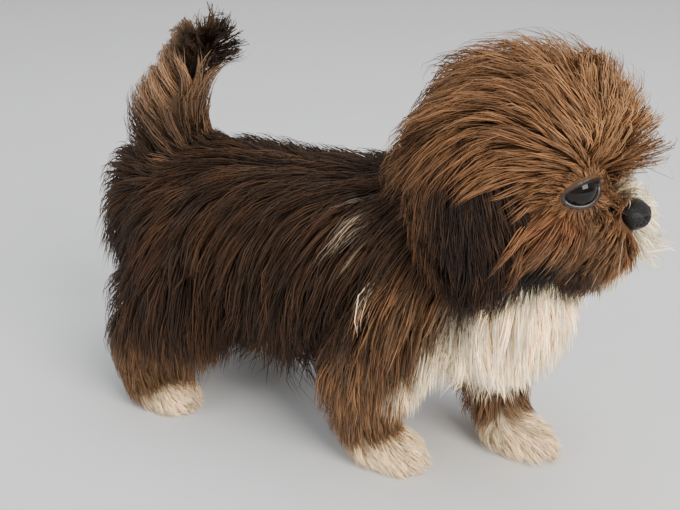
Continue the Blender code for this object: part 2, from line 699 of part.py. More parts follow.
def ear_dome(u, v):
    """How thick the ear is at a place, as a share of its middle's thickness."""
    return math.sqrt(max(0.1, 1 - 0.9 * (u * u + v * v)))


def ear_shape(side, thickness, grow=0.0, rings=3, sides=14):
    """A disc along the side of the head, flat inside and domed outside by the thickness."""
    bm = bmesh.new()
    turns = [2 * math.pi * k / sides for k in range(sides)]

    def layer(outside):
        rows = []
        for ring in range(rings + 1):
            share = ring / rings
            lift = thickness * ear_dome(share, 0) + grow if outside else -grow
            rows.append([
                bm.verts.new(ear_point(side, share * math.cos(t), share * math.sin(t), lift, grow))
                for t in (turns if ring else turns[:1])
            ])
        return rows

    inner, outer = layer(False), layer(True)
    for (pole,), *loops in (inner, outer):
        for k in range(sides):
            bm.faces.new((pole, loops[0][k], loops[0][(k + 1) % sides]))
        for low, high in zip(loops, loops[1:]):
            for k in range(sides):
                bm.faces.new((low[k], high[k], high[(k + 1) % sides], low[(k + 1) % sides]))
    for k in range(sides):
        bm.faces.new((inner[-1][k], outer[-1][k],
                      outer[-1][(k + 1) % sides], inner[-1][(k + 1) % sides]))
    bmesh.ops.triangulate(bm, faces=bm.faces)
    return object_of("ear_shape", bm)


def ear_locks(side):
    draw = random.Random(SEED)
    return [ear_lock(side, u, v, draw) for u, v in EAR_ROOTS]


def ear_lock(side, u, v, draw):
    """A lock hanging down the outside of the ear, inside its full thickness."""
    width = EAR_LOCK_WIDTH * draw.uniform(0.85, 1.15)
    thick = EAR_LOCK_THICKNESS
    end_v = min(v + draw.uniform(0.8, 1.1), 0.93)
    end_u = u * 0.6 + draw.uniform(-0.06, 0.06)
    points = []
    for share in Lock.SHARES:
        here_u, here_v = u + (end_u - u) * share, v + (end_v - v) * share
        rise = CORE_SHARE + (1 - CORE_SHARE) * (1 - (1 - share) ** 3)
        lift = EAR_DEPTH * rise * ear_dome(here_u, here_v) - 0.6 * thick
        points.append(ear_point(side, here_u, here_v, lift - (0 if share else 2 * MM)))
    out = side_of(EAR_DOWN.cross(EAR_AHEAD), side)
    return Lock(ringed(points, [out] * len(points)), width, thick)


def ear_object(name, side):
    """The ear's flap, with its cup open towards the cheek and locks down its outside."""
    obj = ear_shape(side, EAR_DEPTH * CORE_SHARE)
    obj.name = name
    boolean(obj, "UNION", [lock.mesh_object() for lock in ear_locks(side)])
    bm = bmesh.new()
    ellipsoid(bm, (0, 0, 0), (5 * MM, 3 * MM, 13 * MM), 8, 6)
    cup = object_of("cup", bm)
    cup.data.transform(Matrix.Translation(side_of(EAR + EAR_AHEAD * EAR_HALF_WIDTH, side)))
    return boolean(obj, "DIFFERENCE", [cup])


def nose_object(name, grow=0.0):
    bm = bmesh.new()
    half = NOSE_WIDTH / 2
    ellipsoid(bm, NOSE, (0.8 * half + grow, half + grow, 0.75 * half + grow), 12, 8)
    obj = object_of(name, bm)
    if grow:
        return obj
    nostrils = []
    for side in (-1, 1):
        bm = bmesh.new()
        ellipsoid(bm, NOSE + Vector((5.2, side * 2.9, -0.2)) * MM, Vector((2.4, 1.4, 1.7)) * MM, 6, 5)
        ellipsoid(bm, NOSE + Vector((4.0, side * 5.2, -1.4)) * MM, Vector((2.4, 2, 0.8)) * MM, 6, 5)
        nostrils.append(object_of("nostril", bm))
    return boolean(obj, "DIFFERENCE", nostrils, "EXACT")


def mouth_points(surface, lift):
    """The line between the lips, laid on the muzzle from one corner to the other."""
    centre = MUZZLE + Vector((-14, 0, -7)) * MM
    points = []
    for turn in range(-80, 81, 20):
        angle = math.radians(turn)
        dip = -3 * MM + 2.2 * MM * math.cos(2 * angle)
        ray = Vector((math.cos(angle), math.sin(angle), 0.0))
        hit = surface.ray_cast(centre + Vector((0, 0, dip)) + ray * 60 * MM, -ray)[0]
        points.append(hit + ray * lift)
    return points


def tube(name, points, radius, sides=5):
    bm = bmesh.new()
    limb(bm, [(*point, radius, radius) for point in points], sides, 1)
    return object_of(name, bm)


def thinned(core, name, share):
    """A copy of the core with a share of its triangles."""
    obj = core.copy()
    obj.data = core.data.copy()
    obj.name = name
    bpy.context.scene.collection.objects.link(obj)
    thin = obj.modifiers.new("thin", "DECIMATE")
    thin.ratio = share
    thin.use_collapse_triangulate = True
    return applied(obj)


# Colour and roughness.
FINISHES = {
    "coat": ((0.075, 0.034, 0.016), 0.6),
    "head": ((0.13, 0.055, 0.024), 0.55),
    "ear": ((0.028, 0.016, 0.011), 0.6),
    "tail": ((0.16, 0.085, 0.045), 0.6),
    "foreleg": ((0.22, 0.11, 0.055), 0.6),
    "eye": ((0.006, 0.005, 0.005), 0.06),
    "nose": ((0.009, 0.009, 0.01), 0.35),
}


def touching(obj, locks):
    """The locks whose box meets the object's, a gap larger all round."""
    corners = np.array([v.co for v in obj.data.vertices])
    near = []
    for lock in locks:
        points = np.array(lock.points())
        reach = lock.width
        if (points.max(0) + reach > corners.min(0)).all():
            if (points.min(0) - reach < corners.max(0)).all():
                near.append(lock)
    return [lock.mesh_object(GAP) for lock in near]


def body_node(name, above=()):
    """A piece of the core with its own locks, clear of the pieces above it in the coat's flow."""
    fineness = FINENESS.get(name, LIMB_FINENESS)
    obj = thinned(core, name, fineness)
    if name in CELLS:
        boolean(obj, "INTERSECT", [CELLS[name].solid("cell", -GAP / 2 - STEP)])
    else:
        cells = [cell.solid("cell", GAP / 2 + STEP) for cell in CELLS.values()]
        boolean(obj, "DIFFERENCE", cells)
    largest_surface(obj)
    extras = face_pieces() if name == "head" else []
    boolean(obj, "UNION", [lock.mesh_object() for lock in owners[name]] + extras)
    if name in ("neck", "torso"):
        cuts = [CELLS[other].solid("cell", GAP / 2) for other in above]
        boolean(obj, "DIFFERENCE", cuts)
    elif name != "head":
        boolean(obj, "INTERSECT", [CELLS[name].solid("cell", -GAP / 2)])
    over = [lock for other in above for lock in owners[other]]
    cuts = touching(obj, over)
    if name in ("head", "neck", "torso"):
        for side in (-1, 1):
            cuts += [ear_shape(side, EAR_DEPTH, GAP), *touching(obj, ear_locks(side))]
    if cuts:
        boolean(obj, "DIFFERENCE", cuts)
    print(name, len(owners[name]), "locks", len(cuts), "cuts", len(obj.data.polygons))
    return obj


def face_pieces():
    """Lids round the eyes, and two lips."""
    pieces = [eye_object("lids", side, LID) for side in (-1, 1)]
    for up in (-1.8, 1.8):
        points = [p + Vector((0, 0, up * MM)) for p in mouth_points(surface, -1.2 * MM)]
        pieces.append(tube("lip", points, 2.2 * MM))
    return pieces


def face_cuts(head):
    """Opens the lids and the mouth's line, and seats the eyes and the nose."""
    for side in (-1, 1):
        boolean(head, "DIFFERENCE", [lid_opening(side)])
        boolean(head, "DIFFERENCE", [eye_object("socket", side, GAP)])
    boolean(head, "DIFFERENCE", [tube("groove", mouth_points(surface, 0.6 * MM), 0.9 * MM)])
    boolean(head, "DIFFERENCE", [nose_object("nose_seat", GAP)])


clear_scene()
flesh = flesh_object()
coat = Coat(flesh)
core = core_object(flesh, coat, CORE_SHARE)
print("flesh", len(flesh.data.polygons), "core", len(core.data.polygons))

surface = BVHTree.FromObject(core, bpy.context.evaluated_depsgraph_get())

owners = {name: [] for name in ["torso", *CELLS]}
for root, lock in grown_locks(flesh, coat, random.Random(SEED)):
    held = [name for name, cell in CELLS.items() if cell.holds(root)]
    owners[held[0] if held else "torso"].append(lock)
owners["tail_tip"] = owners["tail_tip"][:TAIL_TIP_LOCKS]

nodes = {"head": body_node("head")}
face_cuts(nodes["head"])
nodes["neck"] = body_node("neck", ["head"])
nodes["torso"] = body_node("torso", ["head", "neck"])
for name in CELLS:
    if name not in nodes:
        above = ["torso"] if "leg" not in name else ["head", "neck", "torso"]
        nodes[name] = body_node(name, above)
for side, label in ((-1, "right"), (1, "left")):
    nodes["ear_" + label] = ear_object("ear_" + label, side)
    nodes["eye_" + label] = eye_object("eye_" + label, side)
nodes["nose"] = nose_object("nose")

bpy.data.objects.remove(core)
bpy.data.objects.remove(flesh)
for obj in nodes.values():
    largest_surface(obj)
    tidied(obj)
    largest_surface(obj)
points = np.concatenate([[v.co for v in obj.data.vertices] for obj in nodes.values()])
low, high = points.min(0), points.max(0)
shift = Vector((-(low[0] + high[0]) / 2, -(low[1] + high[1]) / 2, -low[2]))
dog = bpy.data.collections.new("shih_tzu")
bpy.context.scene.collection.children.link(dog)
for name, obj in nodes.items():
    obj.data.transform(Matrix.Translation(shift))
    for owner in list(obj.users_collection):
        owner.objects.unlink(obj)
    dog.objects.link(obj)
    obj.name = name
    obj.data.name = name
    finish = FINISHES.get(name.split("_")[0], FINISHES["coat"])
    obj.data.materials.clear()
    obj.data.materials.append(material(name, *finish))
    obj.data.shade_smooth()
    obj.data.set_sharp_from_angle(angle=SHARP)
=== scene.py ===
# The shih tzu puppy of the photo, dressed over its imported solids: one skin, a coat of fine
# tufts, lids, eyes, nose, claws, lashes and whiskers. Landmarks are in millimetres in the
# dog's own frame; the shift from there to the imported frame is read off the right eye.

import json
import math

import bmesh
import bpy
import numpy as np
from mathutils import Matrix, Vector
from mathutils.bvhtree import BVHTree
from mathutils.kdtree import KDTree

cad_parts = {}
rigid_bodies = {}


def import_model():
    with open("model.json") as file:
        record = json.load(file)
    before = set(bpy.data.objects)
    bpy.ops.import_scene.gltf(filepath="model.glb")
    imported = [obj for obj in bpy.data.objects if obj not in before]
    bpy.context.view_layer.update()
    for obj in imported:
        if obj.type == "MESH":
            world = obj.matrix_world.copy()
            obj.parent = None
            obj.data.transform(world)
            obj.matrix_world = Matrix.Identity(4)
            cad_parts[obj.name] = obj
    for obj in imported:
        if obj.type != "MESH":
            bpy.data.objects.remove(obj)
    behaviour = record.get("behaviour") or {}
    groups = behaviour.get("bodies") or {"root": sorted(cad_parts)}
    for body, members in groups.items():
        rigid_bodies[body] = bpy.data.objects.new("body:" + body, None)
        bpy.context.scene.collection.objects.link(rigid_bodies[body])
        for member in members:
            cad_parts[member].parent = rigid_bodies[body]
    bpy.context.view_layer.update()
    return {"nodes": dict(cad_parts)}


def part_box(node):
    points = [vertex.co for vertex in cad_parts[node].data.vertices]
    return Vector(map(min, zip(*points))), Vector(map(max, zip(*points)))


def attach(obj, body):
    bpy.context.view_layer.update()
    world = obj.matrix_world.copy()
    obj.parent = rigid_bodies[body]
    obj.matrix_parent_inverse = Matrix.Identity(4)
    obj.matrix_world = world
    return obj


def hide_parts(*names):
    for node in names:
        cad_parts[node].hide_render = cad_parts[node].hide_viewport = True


for old in list(bpy.data.objects):
    bpy.data.objects.remove(old)
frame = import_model()
print("frame loaded", len(frame["nodes"]), "nodes")

mm = 0.001
eyePlace = Vector((78, -17.5, 145))
eyeAxis = Vector((0.78, -0.62, 0.02)).normalized()
eyeRadius = 8.6
nosePlace = Vector((97, 0, 132))
muzzlePlace = Vector((86, 0, 127))
skullPlace = Vector((50, 0, 152))
floorLevel = 5.2  # where the paws stand, in the dog's frame

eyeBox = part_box("eye_right")
shift = (eyeBox[0] + eyeBox[1]) / 2 / mm - eyePlace


def atSide(point, side):
    return Vector((point[0], point[1] if side < 0 else -point[1], point[2]))


def toScene(points):
    return (np.asarray(points, float) + np.array(shift)) * mm


def newObject(name, data):
    obj = bpy.data.objects.new(name, data)
    bpy.context.scene.collection.objects.link(obj)
    return obj


def meshObject(name, verts, faces, edges=()):
    mesh = bpy.data.meshes.new(name)
    mesh.from_pydata([tuple(v) for v in verts], edges, faces)
    mesh.update()
    return newObject(name, mesh)


def bmeshObject(name, bm):
    mesh = bpy.data.meshes.new(name)
    bm.to_mesh(mesh)
    bm.free()
    return newObject(name, mesh)


def bakedModifiers(obj):
    bpy.context.view_layer.update()
    graph = bpy.context.evaluated_depsgraph_get()
    mesh = bpy.data.meshes.new_from_object(obj.evaluated_get(graph))
    obj.modifiers.clear()
    obj.data = mesh


def read(items, key, size, kind=np.float32):
    out = np.empty(len(items) * size, kind)
    items.foreach_get(key, out)
    return out.reshape(-1, size) if size > 1 else out


def coordsOf(obj):
    return read(obj.data.vertices, "co", 3).astype(float)


def flat32(values):
    return np.asarray(values, np.float32).ravel()


def setCoords(obj, points):
    obj.data.vertices.foreach_set("co", flat32(points))
    obj.data.update()


def addValues(obj, key, values):
    obj.data.attributes.new(key, "FLOAT", "POINT").data.foreach_set("value", flat32(values))


def addColours(obj, colours):
    full = np.ones((len(colours), 4))
    full[:, :3] = colours
    obj.data.attributes.new("markings", "FLOAT_COLOR", "POINT").data.foreach_set("color", flat32(full))


def unit(vectors):
    return vectors / np.maximum(np.linalg.norm(vectors, axis=-1, keepdims=True), 1e-9)


def smooth(value, low, high):
    t = np.clip((value - low) / (high - low), 0, 1)
    return t * t * (3 - 2 * t)


# Camera, at the photo's viewing angle
lens = {"azimuth": 29, "elevation": 24, "place": (172.0, -368.6, 274.5), "pixels": 1000}
camData = bpy.data.cameras.new("photoView")
camData.sensor_width = 36
camData.lens = 36 * lens["pixels"] / 680
camData.clip_start = 0.01
cam = newObject("photoView", camData)
turn, rise = math.radians(lens["azimuth"]), math.radians(lens["elevation"])
back = Vector((math.sin(turn) * math.cos(rise), -math.cos(turn) * math.cos(rise), math.sin(rise)))
cam.rotation_mode = "QUATERNION"
cam.rotation_quaternion = (-back).to_track_quat("-Z", "Y")
cam.location = toScene(lens["place"])
bpy.context.scene.camera = cam


# Flesh, as in the solids: everything here is in millimetres until the skin is placed
def smoothPath(points, steps=6):
    rows = [np.array(p, float) for p in points]
    rows = [2 * rows[0] - rows[1], *rows, 2 * rows[-1] - rows[-2]]
    out = []
    for a, b, c, d in zip(rows, rows[1:], rows[2:], rows[3:]):
        for k in range(steps):
            t = k / steps
            out.append(0.5 * (2 * b + (c - a) * t + (2 * a - 5 * b + 4 * c - d) * t * t
                              + (3 * b - a - 3 * c + d) * t ** 3))
    return np.array([*out, rows[-2]])


def ellipsoid(bm, centre, radii, segments=40, rings=26):
    made = bmesh.ops.create_uvsphere(bm, u_segments=segments, v_segments=rings, radius=1.0)
    for vert in made["verts"]:
        vert.co = Vector(centre) + Vector(r * c for r, c in zip(radii, vert.co))


def limb(bm, stations, sides):
    path = smoothPath(stations)
    centres, sizes = path[:, :3], path[:, 3:]
    along = np.gradient(centres, axis=0)
    along /= np.linalg.norm(along, axis=1, keepdims=True)
    dome = [math.radians(angle) for angle in (75, 50, 25)]
    rows = [(centres[0] - along[0] * sizes[0].mean() * math.sin(a), along[0],
             sizes[0] * math.cos(a)) for a in dome]
    rows += list(zip(centres, along, sizes))
    rows += [(centres[-1] + along[-1] * sizes[-1].mean() * math.sin(a), along[-1],
              sizes[-1] * math.cos(a)) for a in reversed(dome)]
    rings = []
    for centre, forward, (wide, deep) in rows:
        side = np.cross([0, 0, 1.0], forward)
        if np.linalg.norm(side) < 0.3:
            side = np.array([0, 1.0, 0])
        side /= np.linalg.norm(side)
        side *= -1 if side[1] < 0 else 1
        lift = np.cross(forward, side)
        rings.append([bm.verts.new(centre + side * wide * math.cos(t) + lift * deep * math.sin(t))
                      for t in np.linspace(0, 2 * math.pi, sides, endpoint=False)])
    for lower, upper in zip(rings, rings[1:]):
        for k in range(sides):
            j = (k + 1) % sides
            bm.faces.new((lower[k], lower[j], upper[j], upper[k]))
    bm.faces.new(rings[0])
    bm.faces.new(rings[-1])


body = {
    "torso": [(-128 + 174 * share, 0, 93 + drop, 38 * wide, 37 * deep)
              for share, drop, wide, deep in (
                  (0.00, 0, 0.62, 0.70), (0.11, 0, 0.87, 0.90), (0.29, 0, 0.97, 0.97),
                  (0.48, -1, 1.00, 1.00), (0.67, 0, 0.96, 1.02), (0.86, 1, 0.87, 0.98),
                  (1.00, -2, 0.66, 0.78))],
    "neck": [(18, 0, 100, 29, 32), (33, 0, 120, 28, 31), (44, 0, 140, 28, 28)],
    "foreRight": [(14, -23, 86, 17, 19), (4, -29, 60, 14, 16), (-2, -30, 38, 11, 12),
                  (-3, -29, 22, 10, 10.5), (2, -28, 13.5, 12, 9), (11, -28, 12, 11, 7.5)],
    "foreLeft": [(22, 20, 86, 17, 19), (32, 21, 60, 14, 16), (40, 17, 38, 11, 12),
                 (44, 13, 22, 10, 10.5), (51, 10.5, 13.5, 12, 9), (60, 9, 12, 11, 7.5)],
    "hindRight": [(-100, -20, 92, 23, 25), (-98, -32, 68, 17, 23), (-112, -35, 50, 13, 18),
                  (-122, -37, 37, 10, 13), (-121, -38, 21, 9.5, 11), (-116, -38, 13.5, 11.5, 8.5),
                  (-107, -38, 12, 10.5, 7.5)],
    "hindLeft": [(-98, 20, 92, 23, 25), (-90, 32, 68, 17, 23), (-101, 34, 50, 13, 18),
                 (-113, 35, 37, 10, 13), (-112, 36, 21, 9.5, 11), (-104, 36, 13.5, 11.5, 8.5),
                 (-94, 36, 12, 10.5, 7.5)],
    "tail": [(-108, 0, 112, 9, 9), (-122, 0, 126, 8, 8), (-123, 0, 143, 6.5, 6.5),
             (-117, 0, 157, 5.5, 5.5), (-108, 0, 169, 5, 5), (-101, 0, 176, 4.5, 4.5)],
}
paws = {name: Vector(body[name][-1][:3]) for name in ("foreRight", "foreLeft", "hindRight",
                                                        "hindLeft")}
toes = {"across": (-7.5, -2.6, 2.6, 7.5), "ahead": (3, 6.5, 6.5, 3), "radii": (6.2, 3.4, 5.2)}


# Forms of the head's flesh: middle and radii, with those at the sides given for the right
skullRadius = 33
headForms = [
    (skullPlace, (1.03 * skullRadius, skullRadius, 0.94 * skullRadius)),
    (skullPlace + Vector((20, 0, 8)), (16, 25, 17)),  # forehead
    (muzzlePlace, (12, 15, 12)),
    (muzzlePlace + Vector((-10, 0, 9)), (14, 11, 11)),  # bridge
    (muzzlePlace + Vector((-9, 0, -14)), (17, 12, 8)),  # chin
]
sideForms = [
    (skullPlace + Vector((13, -19, -21)), (20, 14, 18)),  # cheek
    (muzzlePlace + Vector((3, -7.5, -4)), (10, 9, 9.5)),  # lip
    (eyePlace - eyeAxis * 3, [eyeRadius + 2.5] * 3),  # socket
    (eyePlace, [eyeRadius + 1.5] * 3),  # lids
    (Vector((36, -28.5, 160)), (14, 7, 9)),  # where the ear grows out of the head
]


def headFlesh(bm):
    for place, radii in headForms:
        ellipsoid(bm, place, radii)
    for side in (-1, 1):
        for place, radii in sideForms:
            ellipsoid(bm, atSide(place, side), radii)


ear = {"middle": Vector((42, -36.5, 139.5)), "down": Vector((0.27, -0.16, -0.95)).normalized(),
       "ahead": Vector((0.956, 0.12, 0.25)).normalized(), "length": 31, "width": 22, "curl": 5,
       "taper": 0.15, "thick": 4.5, "inside": 0.6, "edge": 0.97, "edgeThinning": 0.9}


def earPoint(side, u, v, lift):
    out = atSide(ear["down"].cross(ear["ahead"]), side)
    curl = ear["curl"] * (u * u + 0.5 * v * v)
    return (atSide(ear["middle"], side) + out * (lift - curl)
            + atSide(ear["ahead"], side) * u * (1 - ear["taper"] * v) * ear["width"]
            + atSide(ear["down"], side) * v * ear["length"])


def earFlap(bm, side, rings=12, sides=56):
    faceRows = []
    for outside in (False, True):
        rows = []
        for ring in range(rings + 1):
            share = ring / rings * ear["edge"]
            lift = ear["inside"]
            if outside:
                lift = ear["thick"] * math.sqrt(1 - ear["edgeThinning"] * share * share)
            turns = np.linspace(0, 2 * math.pi, sides, endpoint=False) if ring else [0.0]
            rows.append([bm.verts.new(earPoint(side, share * math.cos(t), share * math.sin(t), lift))
                         for t in turns])
        faceRows.append(rows)
    for (pole,), *loops in faceRows:
        for k in range(sides):
            bm.faces.new((pole, loops[0][k], loops[0][(k + 1) % sides]))
        for lower, upper in zip(loops, loops[1:]):
            for k in range(sides):
                bm.faces.new((lower[k], upper[k], upper[(k + 1) % sides], lower[(k + 1) % sides]))
    for k in range(sides):
        bm.faces.new((faceRows[0][-1][k], faceRows[1][-1][k],
                      faceRows[1][-1][(k + 1) % sides], faceRows[0][-1][(k + 1) % sides]))


def onFlap(places, side):
    # where places lie on an ear's flap, ahead and down, in shares of its half sizes
    gap = places - np.array(atSide(ear["middle"], side))
    return (gap @ np.array(atSide(ear["ahead"], side)) / ear["width"],
            gap @ np.array(atSide(ear["down"], side)) / ear["length"])


def turnedOut(obj):
    bm = bmesh.new()
    bm.from_mesh(obj.data)
    bmesh.ops.recalc_face_normals(bm, faces=bm.faces)
    bm.to_mesh(obj.data)
    bm.free()


skinSize = {"voxel": 1.5, "soften": 9, "limbSides": 32, "torsoSides": 40, "toeDrop": 1.2}
bm = bmesh.new()
for name, stations in body.items():
    limb(bm, stations, skinSize["torsoSides" if name == "torso" else "limbSides"])
headFlesh(bm)
for name, place in paws.items():
    for across, ahead in zip(toes["across"], toes["ahead"]):
        ellipsoid(bm, place + Vector((ahead, across, -skinSize["toeDrop"])), toes["radii"], 20, 14)
bmesh.ops.recalc_face_normals(bm, faces=bm.faces)
skin = bmeshObject("skin", bm)
remesh = skin.modifiers.new("oneSkin", "REMESH")
remesh.mode = "VOXEL"
remesh.voxel_size = skinSize["voxel"]
soften = skin.modifiers.new("soften", "SMOOTH")
soften.factor = 0.5
soften.iterations = skinSize["soften"]
bakedModifiers(skin)
print("flesh", len(skin.data.polygons), "faces")

# Eye pits and the line of the mouth, pressed into the skin
# The opening's half sizes, how far the lids' edge stands off the eyeball, and degrees of tilt
opening = {"across": 7.4, "up": 4.0, "gap": 0.15, "tilt": -13}
pit = {"edge": 7, "reach": 6, "depth": 1.6}
mouth = {"middle": muzzlePlace + Vector((-14, 0, -7)), "spread": 84, "dip": -3, "lift": 2.2,
         "depth": 1.4, "width": 1.1}


def eyeFrame(side):
    eye, axis = np.array(atSide(eyePlace, side)), np.array(atSide(eyeAxis, side))
    across = np.cross([0, 0, 1.0], axis) * side  # away from the nose on both sides
    across /= np.linalg.norm(across)
    up = np.cross(axis, across) * side
    tilt = math.radians(opening["tilt"])
    return eye, axis, (across * math.cos(tilt) + up * math.sin(tilt),
                       up * math.cos(tilt) - across * math.sin(tilt))


def openingAngle(phi):
    wide = math.asin(opening["across"] / (eyeRadius + opening["gap"]))
    high = math.asin(opening["up"] / (eyeRadius + opening["gap"]))
    return 1 / np.sqrt((np.cos(phi) / wide) ** 2 + (np.sin(phi) / high) ** 2)


def fromOpening(places, side):
    # degrees beyond the lids' edge, and how far from the middle of the eye
    eye, axis, (across, up) = eyeFrame(side)
    gap = places - eye
    apart = np.maximum(np.linalg.norm(gap, axis=1), 0.1)
    angle = np.arccos(np.clip(gap @ axis / apart, -1, 1))
    return np.degrees(angle - openingAngle(np.arctan2(gap @ up, gap @ across))), apart


points = coordsOf(skin)
tree = BVHTree.FromObject(skin, bpy.context.evaluated_depsgraph_get())
mouthLine = []
for degrees in range(-mouth["spread"], mouth["spread"] + 1, 4):
    angle = math.radians(degrees)
    ray = Vector((math.cos(angle), math.sin(angle), 0.0))
    dip = mouth["dip"] + mouth["lift"] * math.cos(2 * angle)
    mouthLine.append(tree.ray_cast(mouth["middle"] + Vector((0, 0, dip)) + ray * 60, -ray)[0])
mouthLine = np.array(mouthLine)
for side in (-1, 1):
    eye = eyeFrame(side)[0]
    extra, apart = fromOpening(points, side)
    inPit = (apart < eyeRadius + pit["reach"]) & (extra < pit["edge"])
    points[inPit] = eye + (points[inPit] - eye) / apart[inPit, None] * (eyeRadius - pit["depth"])
apart = np.sqrt(((points[:, None] - mouthLine[None]) ** 2).sum(2).min(1))
press = mouth["depth"] * np.exp(-(apart / mouth["width"]) ** 2)
normals = np.array([v.normal for v in skin.data.vertices])
points -= normals * press[:, None]
points[:, 2] = np.maximum(points[:, 2], floorLevel)
setCoords(skin, points)

# The ears' flaps join the skin
flaps = {}
for side in (-1, 1):
    bm = bmesh.new()
    earFlap(bm, side)
    bmesh.ops.recalc_face_normals(bm, faces=bm.faces)
    flaps[side] = bmeshObject("flap", bm)
bodyFaces = len(skin.data.polygons)
trees = {}
bm = bmesh.new()
bm.from_mesh(skin.data)
for side in (-1, 1):
    trees[side] = BVHTree.FromObject(flaps[side], bpy.context.evaluated_depsgraph_get())
    bm.from_mesh(flaps[side].data)
flapFaces = len(flaps[-1].data.polygons)
bm.to_mesh(skin.data)
bm.free()
for flap in flaps.values():
    bpy.data.objects.remove(flap)
skin.data.shade_smooth()

# Unwrap of the skin's own shape, which places the tufts' patches too
bpy.context.view_layer.objects.active = skin
skin.select_set(True)
skin.data.uv_layers.new(name="OFBake")
bpy.ops.object.mode_set(mode="EDIT")
bpy.ops.mesh.select_all(action="SELECT")
bpy.ops.uv.smart_project(angle_limit=math.radians(66), island_margin=0.002)
bpy.ops.object.mode_set(mode="OBJECT")
print("skin", len(skin.data.polygons), "faces")

# The combing, on the right side: place, lie, depth of the coat and length of the hair
combing = [
    # forelock, forehead and crown
    (84, 0, 158, 0.9, 0, 0.4, 27, 42), (93, 0, 142, 0.65, 0, 0.7, 11, 18),
    (91, -9, 140, 0.5, -0.6, 0.5, 9, 17), (84, -12, 162, 0.7, -0.2, 0.65, 12, 34),
    (76, 0, 176, 0.2, 0, 0.95, 20, 36), (60, 0, 183, -0.95, 0, 0.3, 21, 38),
    (40, 0, 182, -1, 0, -0.05, 17, 38), (22, 0, 168, -0.8, 0, -0.6, 13, 38),
    (74, -20, 168, -0.6, -0.25, 0.7, 11, 30), (58, -18, 178, -0.85, -0.4, 0.2, 16, 36),
    (38, -20, 174, -0.8, -0.5, -0.4, 14, 42), (70, -29, 156, -0.95, -0.25, 0.1, 10, 26),
    # cheeks, muzzle and beard
    (60, -33, 146, -0.85, -0.2, -0.45, 10, 26), (66, -32, 130, -0.6, -0.3, -0.75, 12, 26),
    (80, -24, 130, -0.45, -0.45, -0.75, 9, 16), (93, -14, 127, -0.3, -0.8, -0.5, 9, 13),
    (98, -7, 122, 0.3, -0.5, -0.75, 7, 11), (92, 0, 108, 0.2, 0, -1, 7, 13),
    (76, -14, 110, -0.4, -0.3, -0.85, 9, 17), (88, -8, 113, -0.1, -0.3, -0.95, 8, 14),
    (86, -25, 145, -0.3, -0.6, -0.1, 1.5, 5), (88, -11, 146, 0.5, -0.1, 0.6, 3, 8),
    (80, -27, 150, -0.6, -0.5, 0.2, 3, 10),
    (98, -9, 133, 0.1, -0.8, -0.3, 2, 6), (98, 0, 122, 0.4, 0, -0.8, 3, 6),
    (58, 0, 106, -0.1, 0, -1, 13, 26),
    # nape, neck and chest
    (40, -31, 150, -0.45, -0.1, -0.9, 7, 24), (10, 0, 142, -0.75, 0, -0.65, 14, 40),
    (18, -28, 128, -0.5, -0.3, -0.8, 15, 42), (52, -22, 105, -0.1, -0.3, -0.95, 14, 34),
    (54, 0, 92, 0.35, 0, -0.93, 15, 34), (48, -18, 84, 0.15, -0.25, -0.95, 14, 34),
    (44, 0, 68, 0.3, 0, -0.95, 13, 30), (34, -12, 58, 0.1, -0.1, -1, 12, 26),
    (24, -34, 95, -0.25, -0.15, -0.95, 13, 36), (20, -34, 72, -0.1, -0.15, -1, 12, 32),
    # back
    (-12, 0, 130, -1, 0, -0.1, 10, 34), (-50, 0, 130, -1, 0, 0, 9, 34),
    (-95, 0, 128, -1, 0, 0.1, 9, 30), (-12, -12, 128, -0.7, -0.6, -0.15, 10, 36),
    (-50, -12, 128, -0.65, -0.65, -0.15, 9, 36), (-95, -12, 126, -0.7, -0.55, -0.2, 9, 34),
    # flanks, from the top down
    (-10, -30, 112, -0.35, -0.25, -0.9, 12, 40), (-50, -32, 112, -0.32, -0.22, -0.9, 12, 40),
    (-92, -28, 112, -0.35, -0.2, -0.9, 12, 38), (-10, -37, 90, -0.22, -0.08, -0.97, 13, 40),
    (-50, -38, 90, -0.2, -0.08, -0.97, 13, 42), (-90, -35, 90, -0.25, -0.08, -0.95, 12, 38),
    (-12, -30, 68, -0.12, -0.02, -1, 13, 50), (-46, -31, 66, -0.12, -0.02, -1, 14, 50),
    (-72, -28, 68, -0.12, 0, -1, 12, 42), (-50, -14, 57, -0.2, 0, -1, 26, 36),
    (-28, -29, 61, -0.1, 0, -1, 14, 44), (-62, -27, 61, -0.12, 0, -1, 14, 42),
    (-20, -14, 57, -0.1, 0, -1, 24, 30), (-78, -14, 60, -0.2, 0, -1, 22, 26),
    # rump and thighs
    (-124, 0, 115, -0.85, 0, 0.15, 17, 34), (-128, 0, 100, -0.5, 0, -0.85, 16, 34),
    (-122, -20, 96, -0.45, -0.2, -0.9, 15, 36), (-130, 0, 84, -0.35, 0, -0.95, 15, 34),
    (-100, -40, 78, -0.25, -0.1, -0.95, 11, 32),
    (-121, -32, 64, -0.35, -0.15, -0.9, 20, 36), (-126, -18, 80, -0.4, -0.1, -0.9, 17, 34),
    (-84, -44, 64, -0.1, -0.05, -1, 9, 26),
]

# Where the left side differs: the far moustache stands out, and a wisp behind the crown
leftCombing = [
    (91, 10, 140, 0.75, 0.6, 0.3, 13, 20), (93, 14, 129, 0.75, 0.6, -0.1, 15, 24),
    (92, 13, 120, 0.65, 0.6, -0.5, 14, 24), (86, 14, 112, 0.4, 0.5, -0.8, 11, 22),
    (24, 12, 170, -0.95, 0.08, 0.1, 26, 54),
]

pawTop = 15


